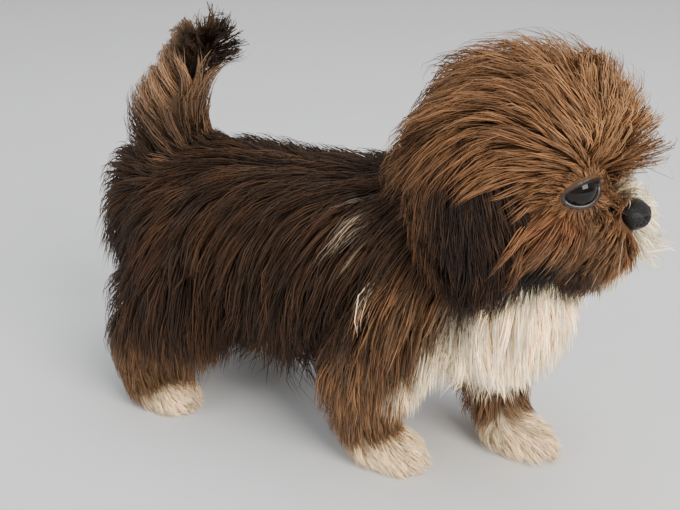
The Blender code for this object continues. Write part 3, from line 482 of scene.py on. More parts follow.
def legCombing(stations, depths, lengths, behind):
    rows = []
    for (x, y, z, wide, deep), level, length in zip(stations, depths, lengths):
        onPaw = z < pawTop
        for outX, outY in ((1, 0), (-1, 0), (0, 1), (0, -1)):
            depth = level * (behind if outX < 0 and not onPaw else 1)
            place = (x + outX * deep, y + outY * wide, z)
            if onPaw:
                place = (x + outX * wide, y + outY * wide, z + deep * 0.5)
                lie = (0.75 + 0.1 * outX, 0.35 * outY, -0.45)
            else:
                lie = (0.22 * outX, 0.2 * outY, -1.0)
            rows.append([*place, *lie, depth, length])
    return rows


def tailCombing():
    rows = []
    for (x, y, z, wide, deep), depth, length in zip(body["tail"], (12, 25, 22, 15, 15, 17),
                                                    (30, 46, 40, 28, 23, 22)):
        for outX, outY in ((1, 0), (-1, 0), (-0.3, 1), (-0.3, -1)):
            thin = depth * (0.45 if outX > 0 and depth > 13 else 0.8)
            rows.append([x + outX * deep, y + outY * wide, z,
                         0.75 * outX - 0.2, 0.55 * outY, 0.65, thin, length])
    x, y, z = body["tail"][-1][:3]
    for out in ((1, 0, 0), (0.6, 0, 0.8), (0.5, 0, -0.8), (0.2, 1, 0), (0.2, -1, 0)):
        rows.append([x + 5 * out[0], y + 5 * out[1], z + 5 * out[2], *out, 17, 22])
    return rows


mirroredRows = [(r[0], -r[1], *r[2:4], -r[4], *r[5:]) for r in combing if r[1]]
gaps = [min(math.dist(r[:3], own[:3]) for own in leftCombing) for r in mirroredRows]
rows = combing + leftCombing + [r for r, gap in zip(mirroredRows, gaps) if gap > 7]
for name in ("foreRight", "foreLeft"):
    rows += legCombing(body[name][1:], (9, 8, 6, 4, 3.5), (22, 17, 13, 9, 8), 2.0)
for name in ("hindRight", "hindLeft"):
    rows += legCombing(body[name][2:], (11, 10, 6, 4, 3.5), (24, 20, 12, 8, 7), 0.9)
rows += tailCombing()
rows = np.array(rows, float)
combPlaces = rows[:, :3]
combLies = rows[:, 3:6] / np.linalg.norm(rows[:, 3:6], axis=1, keepdims=True)
combSizes = rows[:, 6:8]
combBlur = 25  # square millimetres, within which places of the table blend

# Short hair round the lids, and where the hair parts over each brow
lidHair = {"edge": (6, 46), "reach": (3, 9), "away": 1.2, "depth": 0.8, "length": 4.0}
parting = {"place": (75, -20, 165), "reach": (3, 14), "share": 0.75, "depth": 4.5, "length": 12}
earHair = {"depth": 4.5, "length": 24, "lengthen": 5, "density": 1.45}


def bodyCoat(places):
    lies, sizes = [], []
    for part in np.array_split(places, max(1, len(places) // 4000)):
        apart = ((part[:, None] - combPlaces[None]) ** 2).sum(2)
        weight = 1 / (apart + combBlur) ** 2
        weight /= weight.sum(1, keepdims=True)
        lies.append(unit(weight @ combLies))
        sizes.append(weight @ combSizes)
    lies, (depths, lengths) = np.concatenate(lies), np.concatenate(sizes).T
    for side in (-1, 1):
        eye, axis, _ = eyeFrame(side)
        extra, apart = fromOpening(places, side)
        low, high = (eyeRadius + reach for reach in lidHair["reach"])
        near = (1 - smooth(extra, *lidHair["edge"])) * (1 - smooth(apart, low, high))
        gap = places - eye
        away = unit(gap - axis * (gap @ axis)[:, None])
        lies = unit(lies + (away * lidHair["away"] + lies * 0.2 - lies) * near[:, None])
        apart = np.linalg.norm(places - np.array(atSide(parting["place"], side)), axis=1)
        parted = parting["share"] * (1 - smooth(apart, *parting["reach"]))
        for share, sizes in ((near, lidHair), (parted, parting)):
            depths = depths + (sizes["depth"] - depths) * share
            lengths = lengths + (sizes["length"] - lengths) * share
    return lies, depths, lengths


def earCoat(side):
    def at(places):
        u, v = onFlap(places, side)
        lies = unit(np.array(atSide(ear["down"], side))
                    + np.array(atSide(ear["ahead"], side)) * (0.35 * u - 0.1)[:, None])
        return lies, earHair["depth"] + 0 * u, earHair["length"] + earHair["lengthen"] * v

    return at


# Markings, the same for skin and coat: one colour for each place on the dog
def patch(places, centre, radii, edge=0.35):
    apart = np.linalg.norm((places - np.array(centre)) / np.array(radii), axis=1)
    x, y, z = places.T
    ragged = np.sin(0.42 * x + 1.7 * np.sin(0.29 * z)) * np.sin(0.47 * z + 1.5 * np.sin(0.33 * y))
    return 1 - smooth(apart + 0.11 * ragged, 1 - edge, 1 + edge)


paint = {
    "back": (0.037, 0.020, 0.011), "flank": (0.033, 0.017, 0.009), "low": (0.052, 0.028, 0.015),
    "leg": (0.20, 0.112, 0.058), "toes": (1.0, 0.80, 0.53), "copper": (0.18, 0.088, 0.040),
    "gold": (0.36, 0.195, 0.092), "cheek": (0.17, 0.095, 0.050), "red": (0.21, 0.083, 0.036),
    # the darker copper for the back of the head is painted shade
    "black": (0.016, 0.011, 0.008), "napeShade": (0.070, 0.036, 0.018), "mane": (0.15, 0.082, 0.042),
    "cream": (1.0, 0.90, 0.69), "ear": (0.023, 0.0125, 0.008), "tail": (0.26, 0.16, 0.096),
    "tip": (0.028, 0.016, 0.010), "grey": (0.34, 0.27, 0.20),
}

# Patches: colour, strength, middle, radii, softness of the edge, and sides of the dog
both, alone = (-1, 1), (-1,)
patches = [
    ("ear", 0.75, (24, 12, 170), (7, 7, 7), 0.35, alone),  # a wisp behind the crown
    ("mane", 0.85, (26, -32, 99), (18, 14, 19), 0.35, both),  # before the shoulder
    ("leg", 0.65, (4, -34, 72), (17, 13, 15), 0.35, both),
    ("grey", 0.75, (4, -20, 128), (5, 5.5, 9.5), 0.35, both),  # pale wisps behind the ears
    ("cream", 0.8, (10, -35, 110), (2.8, 5, 3.2), 0.35, both),
    ("cheek", 0.8, (82, -20, 126), (15, 13, 14), 0.35, both),
    ("red", 0.6, (78, -27, 135), (10, 9, 4), 0.35, both),  # below the eyes
    ("black", 1, (70, -25, 116), (19, 14, 10), 0.35, both),  # corner and edge of the mouth
    ("black", 0.9, (81, -20, 113), (14, 11, 9), 0.35, both),
    ("black", 0.9, (80, -15, 103), (16, 11, 8), 0.35, both),
    ("black", 0.75, (89, -14, 107), (11, 9, 8), 0.35, both),
    ("cream", 1, (97, 6, 142), (12, 9.5, 13), 0.35, alone),  # blaze, far moustache and chin
    ("cream", 1, (98, 15, 127), (14, 13.5, 16), 0.35, alone),
    ("cream", 0.9, (97, 4, 112), (11, 12, 11), 0.35, alone),
    ("cream", 1, (30, -6, 58), (34, 26, 18), 0.3, alone),  # between and before the forelegs
    ("cream", 0.85, (24, -27, 62), (19, 14, 13), 0.3, both),
    ("cream", 0.9, (36, -26, 77), (14, 12, 14), 0.3, both),
]


def markings(places, onEar):
    x, y, z = places.T
    colour = np.tile(np.array(paint["flank"]), (len(places), 1))

    def lay(name, mask):
        colour[:] = colour + (np.array(paint[name]) - colour) * np.clip(mask, 0, 1)[:, None]

    lay("low", 0.7 * (1 - smooth(z, 45, 95)))
    lay("back", smooth(z, 108, 128) * (x < 30))
    foreLegs = (1 - smooth(z, 50, 80)) * smooth(x, -30, -10)
    hindLegs = (1 - smooth(z, 34, 62)) * smooth(-x, 70, 84)
    lay("leg", (foreLegs + hindLegs) * 0.9)
    lay("tail", smooth(z, 120, 134) * smooth(-x, 94, 104))
    lay("tip", smooth(0.9 * x - 0.45 * z, -176, -171) * smooth(z, 154, 163) * (x < -60))
    head = smooth(0.675 * x + 0.74 * z, 126, 138) * (x > -10)
    lay("copper", head)
    # painted shade: the head's copper darkened towards the back of the head
    lay("napeShade", 0.6 * head * (1 - smooth(x, 28, 62)))
    lay("gold", head * smooth(x, 68, 90) * smooth(z, 148, 162))
    lay("gold", 0.15 * head * patch(places, (56, 0, 186), (26, 26, 14)))
    for name, strength, middle, radii, edge, sides in patches:
        for side in sides:
            lay(name, strength * patch(places, atSide(middle, side), radii, edge))
    lay("cream", patch(places, (54, 2, 82), (28, 38, 36), 0.22) * (1 - head))
    for name, place in paws.items():
        reach = (25, 18, 15) if name.startswith("fore") else (14, 15, 9)
        lay("toes", patch(places, place + Vector((0, 0, -1)), reach, 0.25))
    for side in (-1, 1):  # ears are copper at the root and behind, near black in the middle
        u, v = onFlap(places, side)
        own = onEar & (y * side > 0)
        lay("copper", own * 0.5)
        lay("ear", own * smooth(v + 0.5 * u, -1.15, -0.65) * (0.45 + 0.55 * smooth(u, -0.9, -0.2)))
    return colour


skinPoints = coordsOf(skin)
trees["all"] = BVHTree.FromObject(skin, bpy.context.evaluated_depsgraph_get())
skin.data.calc_loop_triangles()
triCount = len(skin.data.loop_triangles)
triVerts = read(skin.data.loop_triangles, "vertices", 3, int)
triFace = read(skin.data.loop_triangles, "polygon_index", 1, int)
triUv = read(skin.data.uv_layers["OFBake"].data, "uv", 2)[read(skin.data.loop_triangles, "loops", 3, int)]
triCorners = skinPoints[triVerts]
triCross = np.cross(triCorners[:, 1] - triCorners[:, 0], triCorners[:, 2] - triCorners[:, 0])
triArea = np.linalg.norm(triCross, axis=1) / 2
triNormal = unit(triCross)
triMiddle = triCorners.mean(1)
triPart = np.where(triFace < bodyFaces, 0, np.where(triFace < bodyFaces + flapFaces, -1, 1))


# The coat: guides follow the combing over the skin, and each tuft follows its nearest guide
# Lengths and widths are in millimetres, the twist in degrees, and the cover is in layers
coat = {"seed": 5, "guideShare": 0.11, "stations": 9, "coverShort": 2.86, "coverLong": 5.6,
        "bend": 0.3, "carry": 1.2, "rise": 2.4, "tipSink": 0.18, "clump": 0.5, "underShare": 0.22,
        "width": 0.31, "widthByLength": 0.0085, "thick": 0.45, "twist": 40, "sunk": 0.9,
        "uvPatch": 0.0015, "shortUnder": 32}
# Rings along a strand, their widths, and the most strands in a piece, for long and short hair
strands = {False: ((0.0, 0.26, 0.55, 0.82), (0.7, 1.0, 0.85, 0.5), 8900),
           True: ((0.0, 0.38, 0.74), (0.75, 1.0, 0.6), 12200)}
rng = np.random.default_rng(coat["seed"])


def nearest(tree, places):
    found = [tree.find_nearest(Vector(p))[:2] for p in places]
    return np.array([f[0] for f in found]), np.array([f[1] for f in found])


def walked(roots, outs, lengths, tree, coatAt):
    # places, ways out and heights over the skin at each station of the guides
    count, steps = len(roots), coat["stations"] - 1
    bend = rng.uniform(-coat["bend"], coat["bend"], count)
    place, ahead = roots.copy(), None
    rows = [(roots, outs, np.zeros(count))]
    near, out = roots, outs
    for k in range(1, steps + 1):
        share = k / steps
        lie, deep, _ = coatAt(near)
        lie = unit(lie + np.cross(lie, out) * (bend * share)[:, None])
        ahead = lie if ahead is None else unit(lie + coat["carry"] * ahead)
        place = place + ahead * (lengths / steps)[:, None]
        near, out = nearest(tree, place)
        height = ((place - near) * out).sum(1)
        wanted = deep * (1 - (1 - share) ** coat["rise"]) * (1 - coat["tipSink"] * share * share)
        # under the body hair hangs free, and is hardly drawn up to the skin
        pull = np.where((out[:, 2] < -0.2) & (height > wanted), 0.08, 0.6)
        place = place + out * ((wanted - height) * pull)[:, None]
        place[:, 2] = np.maximum(place[:, 2], floorLevel + 0.8)
        rows.append((place, out, ((place - near) * out).sum(1)))
    return [np.stack(column, 1) for column in zip(*rows)]


# Room kept free of hair: round the eyes and what they look at, and round and before the nose
free = {"lidEdge": 2, "sightAngle": 23, "sightReach": 30, "eye": 0.6, "nose": (7.5, 8.9, 6.9),
        "front": (99, 7, 133, 5.5)}


def crossing(at):
    # True for hairs that enter that room
    blocked = False
    frontX, frontWide, frontZ, frontHigh = free["front"]
    for share in (0.0, 0.17, 0.33, 0.5, 0.67, 0.83, 1.0):
        place = at(share)[0]
        for side in (-1, 1):
            eye, axis, _ = eyeFrame(side)
            extra, apart = fromOpening(place, side)
            ahead = unit(np.array([axis[0] * 0.5 + 0.2, axis[1] * 0.5 + side * 0.4, 0.24]))
            sight = (place - eye) @ ahead / apart > math.cos(math.radians(free["sightAngle"]))
            blocked |= (apart < eyeRadius + free["sightReach"]) & ((extra < free["lidEdge"]) | sight)
            blocked |= apart < eyeRadius + free["eye"]
        onNose = np.linalg.norm((place - np.array(nosePlace)) / np.array(free["nose"]), axis=1) < 1
        x, y, z = place.T
        blocked |= onNose | (x > frontX) & (abs(y) < frontWide) & (abs(z - frontZ) < frontHigh)
    return blocked


def tufts(choose, density, tree, coatAt, onEar):
    # roots on the chosen triangles, spread by density, and the stations of each tuft
    weight = triArea * density * choose
    count = int(weight.sum())
    tri = rng.choice(triCount, count, p=weight / weight.sum())
    a, b = rng.random(count), rng.random(count)
    a, b = np.where(a + b > 1, 1 - a, a), np.where(a + b > 1, 1 - b, b)
    shares = np.stack([1 - a - b, a, b], 1)
    roots = (triCorners[tri] * shares[:, :, None]).sum(1)
    uv = (triUv[tri] * shares[:, :, None]).sum(1)
    outs = triNormal[tri]
    lengths = coatAt(roots)[2]
    isGuide = rng.random(count) < coat["guideShare"]
    isGuide[0] = True
    guides = np.flatnonzero(isGuide)
    places, ways, heights = walked(roots[guides], outs[guides], lengths[guides], tree, coatAt)
    finder = KDTree(len(guides))
    for k, g in enumerate(guides):
        finder.insert(roots[g], k)
    finder.balance()
    own = np.array([finder.find(p)[1] for p in roots])
    ahead = unit(np.gradient(places, axis=1))
    side = unit(np.cross(ahead, ways))
    up = np.cross(side, ahead)
    offset = roots - places[own, 0]
    local = np.stack([(offset * way[own, 0]).sum(1) for way in (ahead, side, up)], 1)
    under = rng.random(count) < coat["underShare"]  # short hair that hides the roots
    lengthShare = np.where(under, rng.uniform(0.3, 0.55, count), rng.uniform(0.65, 1.08, count))
    heightShare = rng.uniform(0.35, 1.0, count) ** 0.8
    clump = coat["clump"] * rng.uniform(0.4, 1.2, len(guides))[own]
    wave = rng.normal(0, 0.022, count) * lengths
    phase = rng.uniform(0, 6.28, count)
    turns = rng.uniform(3, 6, count)
    steps = coat["stations"] - 1

    def at(share):
        s = share * lengthShare * steps
        low = np.clip(s.astype(int), 0, steps - 1)
        frac = (s - low)[:, None]

        def between(table):
            one, two = table[own, low], table[own, low + 1]
            return one + (two - one) * (frac if one.ndim > 1 else frac[:, 0])

        place, height = between(places), between(heights)
        way, across, lift = unit(between(ahead)), unit(between(side)), unit(between(up))
        gather = 1 - np.clip(clump * share ** 1.3, 0, 0.95)
        sway = wave * share ** 1.2 * np.sin(phase + turns * share)
        drop = height * (1 - heightShare) * min(1.0, share * 4)
        place = (place + way * local[:, :1] + across * (local[:, 1] * gather + sway)[:, None]
                 + lift * (local[:, 2] * (1 - share) - drop + 0.5 * sway)[:, None])
        return place, way, across, lift

    for share in (0.5, 0.35):  # hair that would cross an eye or the nose stays short
        blocked = crossing(at)
        lengthShare[blocked] *= share
        wave[blocked] *= share
    return {"roots": roots, "outs": outs, "uv": uv, "lengths": lengths * lengthShare, "at": at,
            "lot": rng.random(count), "lock": rng.random(len(guides))[own],
            "twist": np.radians(rng.uniform(-coat["twist"], coat["twist"], count)),
            "size": rng.uniform(0.8, 1.2, count), "onEar": np.full(count, onEar)}


def strandMesh(name, tuft, pick, short):
    # solid, tapered hairs of three sides
    rings, widths, _ = strands[short]
    count = len(pick)
    wide = (coat["width"] + coat["widthByLength"] * tuft["lengths"]) * tuft["size"]
    rows = []
    for share, width in zip(rings, widths):
        place, way, across, lift = (v[pick] for v in tuft["at"](share))
        if share == 0:
            place = place - tuft["outs"][pick] * coat["sunk"]
        turn = tuft["twist"][pick][:, None]
        flat = across * np.cos(turn) + lift * np.sin(turn)
        crown = np.cross(flat, way)
        half = (wide[pick] * width / 2)[:, None]
        thick = half * 2 * coat["thick"]
        rows += [place - flat * half - crown * thick * 0.4,
                 place + flat * half - crown * thick * 0.4, place + crown * thick * 0.6]
    rows.append(tuft["at"](1.0)[0][pick])
    each = len(rows)
    verts = np.stack(rows, 1)
    verts[:, :, 2] = np.maximum(verts[:, :, 2], floorLevel + 0.25)
    verts = verts.reshape(-1, 3)
    pattern = [(0, 1, 2)]
    for k in range(len(rings) - 1):
        for j in range(3):
            p, q = 3 * k + j, 3 * k + (j + 1) % 3
            pattern += [(p, p + 3, q), (q, p + 3, q + 3)]
    last = 3 * (len(rings) - 1)
    pattern += [(last + j, each - 1, last + (j + 1) % 3) for j in range(3)]
    pattern = np.array(pattern)
    faces = (np.arange(count)[:, None, None] * each + pattern[None]).reshape(-1, 3)
    mesh = bpy.data.meshes.new(name)
    mesh.vertices.add(len(verts))
    mesh.vertices.foreach_set("co", flat32(toScene(verts)))
    mesh.loops.add(faces.size)
    mesh.loops.foreach_set("vertex_index", faces.astype(np.int32).ravel())
    mesh.polygons.add(len(faces))
    mesh.polygons.foreach_set("loop_start", np.arange(0, faces.size, 3, dtype=np.int32))
    mesh.polygons.foreach_set("use_smooth", np.ones(len(faces), bool))
    mesh.update(calc_edges=True)
    obj = newObject(name, mesh)
    along = np.concatenate([np.repeat(rings, 3), [1.0]])
    across = np.array([-1, 1, 0] * len(rings) + [0], float)
    shape = np.stack([across, along * 2 - 1], 1) * coat["uvPatch"]
    uv = (tuft["uv"][pick][:, None] + shape[None]).reshape(-1, 2)
    mesh.uv_layers.new(name="OFBake").data.foreach_set("uv", flat32(uv[faces.ravel()]))
    addColours(obj, np.repeat(markings(tuft["roots"][pick], tuft["onEar"][pick]), each, 0))
    for key in ("lot", "lock"):
        addValues(obj, key, np.repeat(tuft[key][pick], each))
    addValues(obj, "along", np.tile(along, count))
    addValues(obj, "across", np.tile(across, count))
    return obj


# How thickly hair grows at each place of the skin
triLie, _, triLength = bodyCoat(triMiddle)
x, y, z = triMiddle.T
cover = coat["coverShort"] + (coat["coverLong"] - coat["coverShort"]) * smooth(triLength, 8, 28)
density = cover / ((coat["width"] + coat["widthByLength"] * triLength) * triLength * 0.55)
underneath = ((triNormal[:, 2] < -0.55) | (abs(y) < 16) & (z < 50)) & (z < 100)
density *= np.where(underneath, 0.45, 1)
standing = np.clip((triLie * triNormal).sum(1), 0, 1)  # hair that stands out covers less
density *= (1 + 1.3 * standing) * np.where((x < -60) & (z > 135), 1.6, 1)
for side in (-1, 1):  # fuller where short hair meets, at the muzzle's side and the parting
    density *= 1 + 1.2 * patch(triMiddle, (90, side * 13, 135), (13, 12, 12))
    density *= 1 + 0.8 * patch(triMiddle, atSide(parting["place"], side), (13, 13, 13))
bare = (z < 8.5) & (triNormal[:, 2] < -0.5)  # soles, nose and lids
bare |= np.linalg.norm((triMiddle - np.array(nosePlace)) / np.array([7, 8.4, 6.4]), axis=1) < 1
for side in (-1, 1):
    extra, apart = fromOpening(triMiddle, side)
    bare |= (extra < 8) & (apart < eyeRadius + 4)
bodyTufts = tufts((triPart == 0) & ~bare, density, trees["all"], bodyCoat, False)
print("coat", len(bodyTufts["roots"]), "tufts on the body")

# The body's tufts in pieces, by region and by length
kept = ~crossing(bodyTufts["at"])
x, y, z = bodyTufts["roots"].T
isHead = 0.675 * x + 0.74 * z > 121.4
isTail = (x < -60) & (z > 127 + 0.35 * (x + 118)) & ~isHead
isLeg = (z < 46) & ~isHead
isNeck = (x > 8) & ~isHead & ~isLeg
isMuzzle = isHead & (x > 74) & (z < 142)
isShort = bodyTufts["lengths"] < coat["shortUnder"]
regions = {
    "coatMuzzle": (isMuzzle, "coat_head"),
    "coatCrown": (isHead & (z > 150), "coat_head"),
    "coatCheek": (isHead & ~isMuzzle & (z <= 150), "coat_head"),
    "coatTail": (isTail, "coat_tail"),
    "coatForeLegs": (isLeg & (x > -40), "coat_leg"),
    "coatHindLegs": (isLeg & (x <= -40), "coat_leg"),
    "coatNeck": (isNeck & ~isTail, "coat_dark"),
    "coatTorso": (~(isHead | isTail | isLeg | isNeck), "coat_dark"),
}
coatPieces = []
for name, (mask, slotName) in regions.items():
    for short in (False, True):
        pick = np.flatnonzero(mask & kept & (isShort == short))
        if not len(pick):
            continue
        pick = pick[np.argsort(y[pick], kind="stable")]
        parts = np.array_split(pick, math.ceil(len(pick) / strands[short][2]))
        for k, part in enumerate(parts):
            label = name + ("Short" if short else "") + (str(k + 1) if len(parts) > 1 else "")
            coatPieces.append((strandMesh(label, bodyTufts, part, short), slotName))
for side, label in ((-1, "Right"), (1, "Left")):
    outward = np.array(atSide(ear["down"].cross(ear["ahead"]), side))
    u, v = onFlap(triMiddle, side)
    hairy = (triPart == side) & (triNormal @ outward > np.where(v < -0.2, -0.5, 0.05)) & (v < 0.93)
    earTufts = tufts(hairy, np.full(triCount, earHair["density"]), trees[side], earCoat(side), True)
    every = np.arange(len(earTufts["roots"]))
    coatPieces.append((strandMesh("coatEar" + label, earTufts, every, False), "coat_ear"))
print("coat pieces", len(coatPieces), "triangles", sum(len(p.data.polygons) for p, _ in coatPieces))

# The skin takes its place
onEarVert = np.zeros(len(skinPoints), bool)
onEarVert[triVerts[triPart != 0].ravel()] = True
addColours(skin, markings(skinPoints, onEarVert))
setCoords(skin, toScene(skinPoints))


def joinedRings(name, rings):
    # rings of places of equal count, each a closed loop, with the last joined to the first
    count, verts, faces = len(rings[0]), [p for ring in rings for p in ring], []
    for k in range(len(rings)):
        low, high = k * count, (k + 1) % len(rings) * count
        faces += [(low + j, low + (j + 1) % count, high + (j + 1) % count, high + j)
                  for j in range(count)]
    obj = meshObject(name, toScene(verts), faces)
    turnedOut(obj)
    obj.data.shade_smooth()
    return obj


# Lids: (degrees beyond the opening's edge, height over the eyeball), closed behind
lid = {"sides": 72, "rings": ((0, -0.25), (0, 0.2), (1.2, 0.6), (3.5, 0.95), (7, 1.2), (11, 1.1),
                              (16, 0.6), (18, -1.2), (10, -1.8), (2, -1.0)),
       "rim": (1, 1, 1, 0.95, 0.7, 0.3, 0, 0, 0, 0)}
eyeball = {"segments": 96, "rings": 64, "bulge": 0.5, "bulgeReach": 0.42}
lids, eyes = [], []
for side, label in ((-1, "right"), (1, "left")):
    eye, axis, (across, up) = eyeFrame(side)
    phi = np.linspace(0, 2 * math.pi, lid["sides"], endpoint=False)
    rings, rim = [], []
    for (extra, height), wet in zip(lid["rings"], lid["rim"]):
        angle = openingAngle(phi) + math.radians(extra)
        way = (axis * np.cos(angle)[:, None] + (across * np.cos(phi)[:, None]
                                                + up * np.sin(phi)[:, None]) * np.sin(angle)[:, None])
        rings.append(eye + way * (eyeRadius + height))
        rim += [wet] * lid["sides"]
    lids.append(joinedRings("lids_" + label, rings))
    addValues(lids[-1], "rim", rim)
    addColours(lids[-1], markings(np.concatenate(rings), np.zeros(len(rim), bool)))
    bm = bmesh.new()
    bmesh.ops.create_uvsphere(bm, u_segments=eyeball["segments"], v_segments=eyeball["rings"],
                              radius=eyeRadius)
    ball = bmeshObject("eyeball_" + label, bm)
    points = coordsOf(ball)
    fromAxis = np.degrees(np.arccos(np.clip(points @ axis / eyeRadius, -1, 1))) / 90
    # the clear front stands a little proud
    bulge = eyeball["bulge"] * np.exp(-(fromAxis / eyeball["bulgeReach"]) ** 4)
    points += points / eyeRadius * bulge[:, None]
    addValues(ball, "fromAxis", fromAxis)
    ball.data.shade_smooth()
    setCoords(ball, toScene(points + eye))
    eyes.append(ball)

# Nose: a pad with nostrils that run out into side slits, and a groove below
# The trail gives place, reach and depth along a nostril on the left side
pad = {"radii": (6.6, 8.1, 6.1), "segments": 160, "rings": 110, "groove": (0.9, 0.42),
       "trail": (((5.4, 2.9, -0.1), 1.55, 2.3), ((5.0, 3.9, -0.9), 1.1, 1.5),
                 ((4.3, 5.1, -1.7), 0.8, 1.1), ((3.2, 6.4, -2.1), 0.6, 0.8),
                 ((2.2, 7.3, -2.2), 0.45, 0.45)),
       "rimPlace": (5.2, 3.2, -0.2), "rimRadius": 2.6, "rimWidth": 0.8, "rimHeight": 0.4}
bm = bmesh.new()
bmesh.ops.create_uvsphere(bm, u_segments=pad["segments"], v_segments=pad["rings"], radius=1.0)
bmesh.ops.rotate(bm, cent=(0, 0, 0), matrix=Matrix.Rotation(math.pi / 2, 3, "Y"), verts=bm.verts)
nose = bmeshObject("nosePad", bm)
ball = coordsOf(nose)
local = ball * np.array(pad["radii"])
local[:, 1] *= 1 + 0.13 * ball[:, 2] - 0.05 * ball[:, 0]
local[:, 0] -= 0.9 * smooth(ball[:, 2], 0.2, 1.0)
hollow, rim = np.zeros(len(ball)), np.zeros(len(ball))
for side in (-1, 1):
    flip = np.array([1, side, 1])
    for place, reach, depth in pad["trail"]:
        apart = np.linalg.norm(local - place * flip, axis=1)
        hollow = np.maximum(hollow, depth * np.exp(-(apart / reach) ** 2))
    apart = np.linalg.norm(local - pad["rimPlace"] * flip, axis=1)
    raised = np.exp(-((apart - pad["rimRadius"]) / pad["rimWidth"]) ** 2)
    rim = np.maximum(rim, pad["rimHeight"] * raised)
grooveDepth, grooveWidth = pad["groove"]
groove = grooveDepth * np.exp(-(local[:, 1] / grooveWidth) ** 2) * (1 - smooth(local[:, 2], -1.0, 1.2))
hollow = np.maximum(hollow, groove * (local[:, 0] > 0))
local += ball * (rim - hollow)[:, None]
addValues(nose, "hollow", hollow / pad["trail"][0][2])
nose.data.shade_smooth()
setCoords(nose, toScene(local + np.array(nosePlace)))
print("eyes, lids and nose made")


# Tapered hairs and claws along polylines, by one tree of nodes
def taperedTree(name):
    tree = bpy.data.node_groups.new(name, "GeometryNodeTree")
    tree.interface.new_socket("Geometry", in_out="INPUT", socket_type="NodeSocketGeometry")
    for label, kind in (("Thickness", "Float"), ("Tip Share", "Float"), ("Rings", "Int"),
                        ("Sides", "Int"), ("Material", "Material")):
        tree.interface.new_socket(label, in_out="INPUT", socket_type="NodeSocket" + kind)
    tree.interface.new_socket("Geometry", in_out="OUTPUT", socket_type="NodeSocketGeometry")
    make = tree.nodes.new
    start, end = make("NodeGroupInput"), make("NodeGroupOutput")
    curve, even = make("GeometryNodeMeshToCurve"), make("GeometryNodeResampleCurve")
    along, taper = make("GeometryNodeSplineParameter"), make("ShaderNodeMapRange")
    power, scale = make("ShaderNodeMath"), make("ShaderNodeMath")
    circle, tube = make("GeometryNodeCurvePrimitiveCircle"), make("GeometryNodeCurveToMesh")
    rounded, real = make("GeometryNodeSetShadeSmooth"), make("GeometryNodeRealizeInstances")
    painted = make("GeometryNodeSetMaterial")
    power.operation, scale.operation = "POWER", "MULTIPLY"
    power.inputs[1].default_value = 1.6
    circle.inputs["Radius"].default_value = 0.5
    taper.inputs["To Min"].default_value = 1.0
    tube.inputs["Fill Caps"].default_value = True
    for source, output, target, entry in (
            (start, "Geometry", curve, "Mesh"), (curve, "Curve", even, "Curve"),
            (start, "Rings", even, "Count"), (along, "Factor", power, 0), (power, 0, taper, "Value"),
            (start, "Tip Share", taper, "To Max"), (taper, "Result", scale, 0),
            (start, "Thickness", scale, 1), (start, "Sides", circle, "Resolution"),
            (even, "Curve", tube, "Curve"), (circle, "Curve", tube, "Profile Curve"),
            (scale, 0, tube, "Scale"), (tube, "Mesh", rounded, "Geometry"),
            (rounded, "Geometry", real, "Geometry"), (real, "Geometry", painted, "Geometry"),
            (start, "Material", painted, "Material"), (painted, "Geometry", end, "Geometry")):
        tree.links.new(source.outputs[output], target.inputs[entry])
    return tree


hairTree = taperedTree("taperedHair")


def taperedPiece(name, paths, material, sizes):
    verts = [p for path in paths for p in path]
    edges, start = [], 0
    for path in paths:
        edges += [(start + k, start + k + 1) for k in range(len(path) - 1)]
        start += len(path)
    obj = meshObject(name, toScene(verts), [], edges)
    made = obj.modifiers.new("taper", "NODES")
    made.node_group = hairTree
    values = {**sizes, "Material": material}
    for item in hairTree.interface.items_tree:
        if item.in_out == "INPUT" and item.name in values:
            made[item.identifier] = values[item.name]
    bakedModifiers(obj)
    turnedOut(obj)
    return obj


# Shader maths: a wired socket that takes part in plain expressions
class Wire:
    def __init__(self, tree, socket=None):
        self.tree, self.socket = tree, socket

    def node(self, kind, settings=None, sockets=None, output=0):
        made = self.tree.nodes.new(kind)
        for key, value in (settings or {}).items():
            setattr(made, key, value)
        for key, value in (sockets or {}).items():
            if isinstance(value, Wire):
                self.tree.links.new(value.socket, made.inputs[key])
            else:
                made.inputs[key].default_value = value
        return Wire(self.tree, made.outputs[output])

    def maths(self, operation, *values):
        return self.node("ShaderNodeMath", {"operation": operation}, dict(enumerate(values)))

    def __add__(self, other):
        return self.maths("ADD", self, other)

    def __sub__(self, other):
        return self.maths("SUBTRACT", self, other)

    def __rsub__(self, other):
        return self.maths("SUBTRACT", other, self)

    def __mul__(self, other):
        return self.maths("MULTIPLY", self, other)

    __radd__, __rmul__ = __add__, __mul__

    def step(self, low, high):
        return self.node("ShaderNodeMapRange", {"interpolation_type": "SMOOTHSTEP"},
                         {"Value": self, "From Min": low, "From Max": high})

    def attribute(self, name, output="Fac"):
        return self.node("ShaderNodeAttribute", {"attribute_name": name}, {}, output)

    def noise(self, scale, detail=3.0, vector=None):
        vector = vector or self.node("ShaderNodeTexCoord", output="Object")
        return self.node("ShaderNodeTexNoise", {}, {"Vector": vector, "Scale": scale, "Detail": detail})

    def mixed(self, one, two, factor, blend="MIX"):
        # sockets 6 and 7 are the colours, output 2 their mix
        return self.node("ShaderNodeMix", {"data_type": "RGBA", "blend_type": blend},
                         {0: factor, 6: one, 7: two}, 2)

    def scaled(self, colour, factor):
        return self.node("ShaderNodeVectorMath", {"operation": "SCALE"}, {0: colour, "Scale": factor})

    def bump(self, height, strength, distance):
        return self.node("ShaderNodeBump", {}, {"Height": height, "Strength": strength,
                                                "Distance": distance})


def newMaterial(name, fixed):
    made = bpy.data.materials.new(name)
    made.use_nodes = True
    shader = made.node_tree.nodes["Principled BSDF"]
    for key, value in fixed.items():
        shader.inputs[key].default_value = value

    def feed(**links):
        for key, wire in links.items():
            made.node_tree.links.new(wire.socket, shader.inputs[key.replace("_", " ")])
        return made

    return Wire(made.node_tree), feed


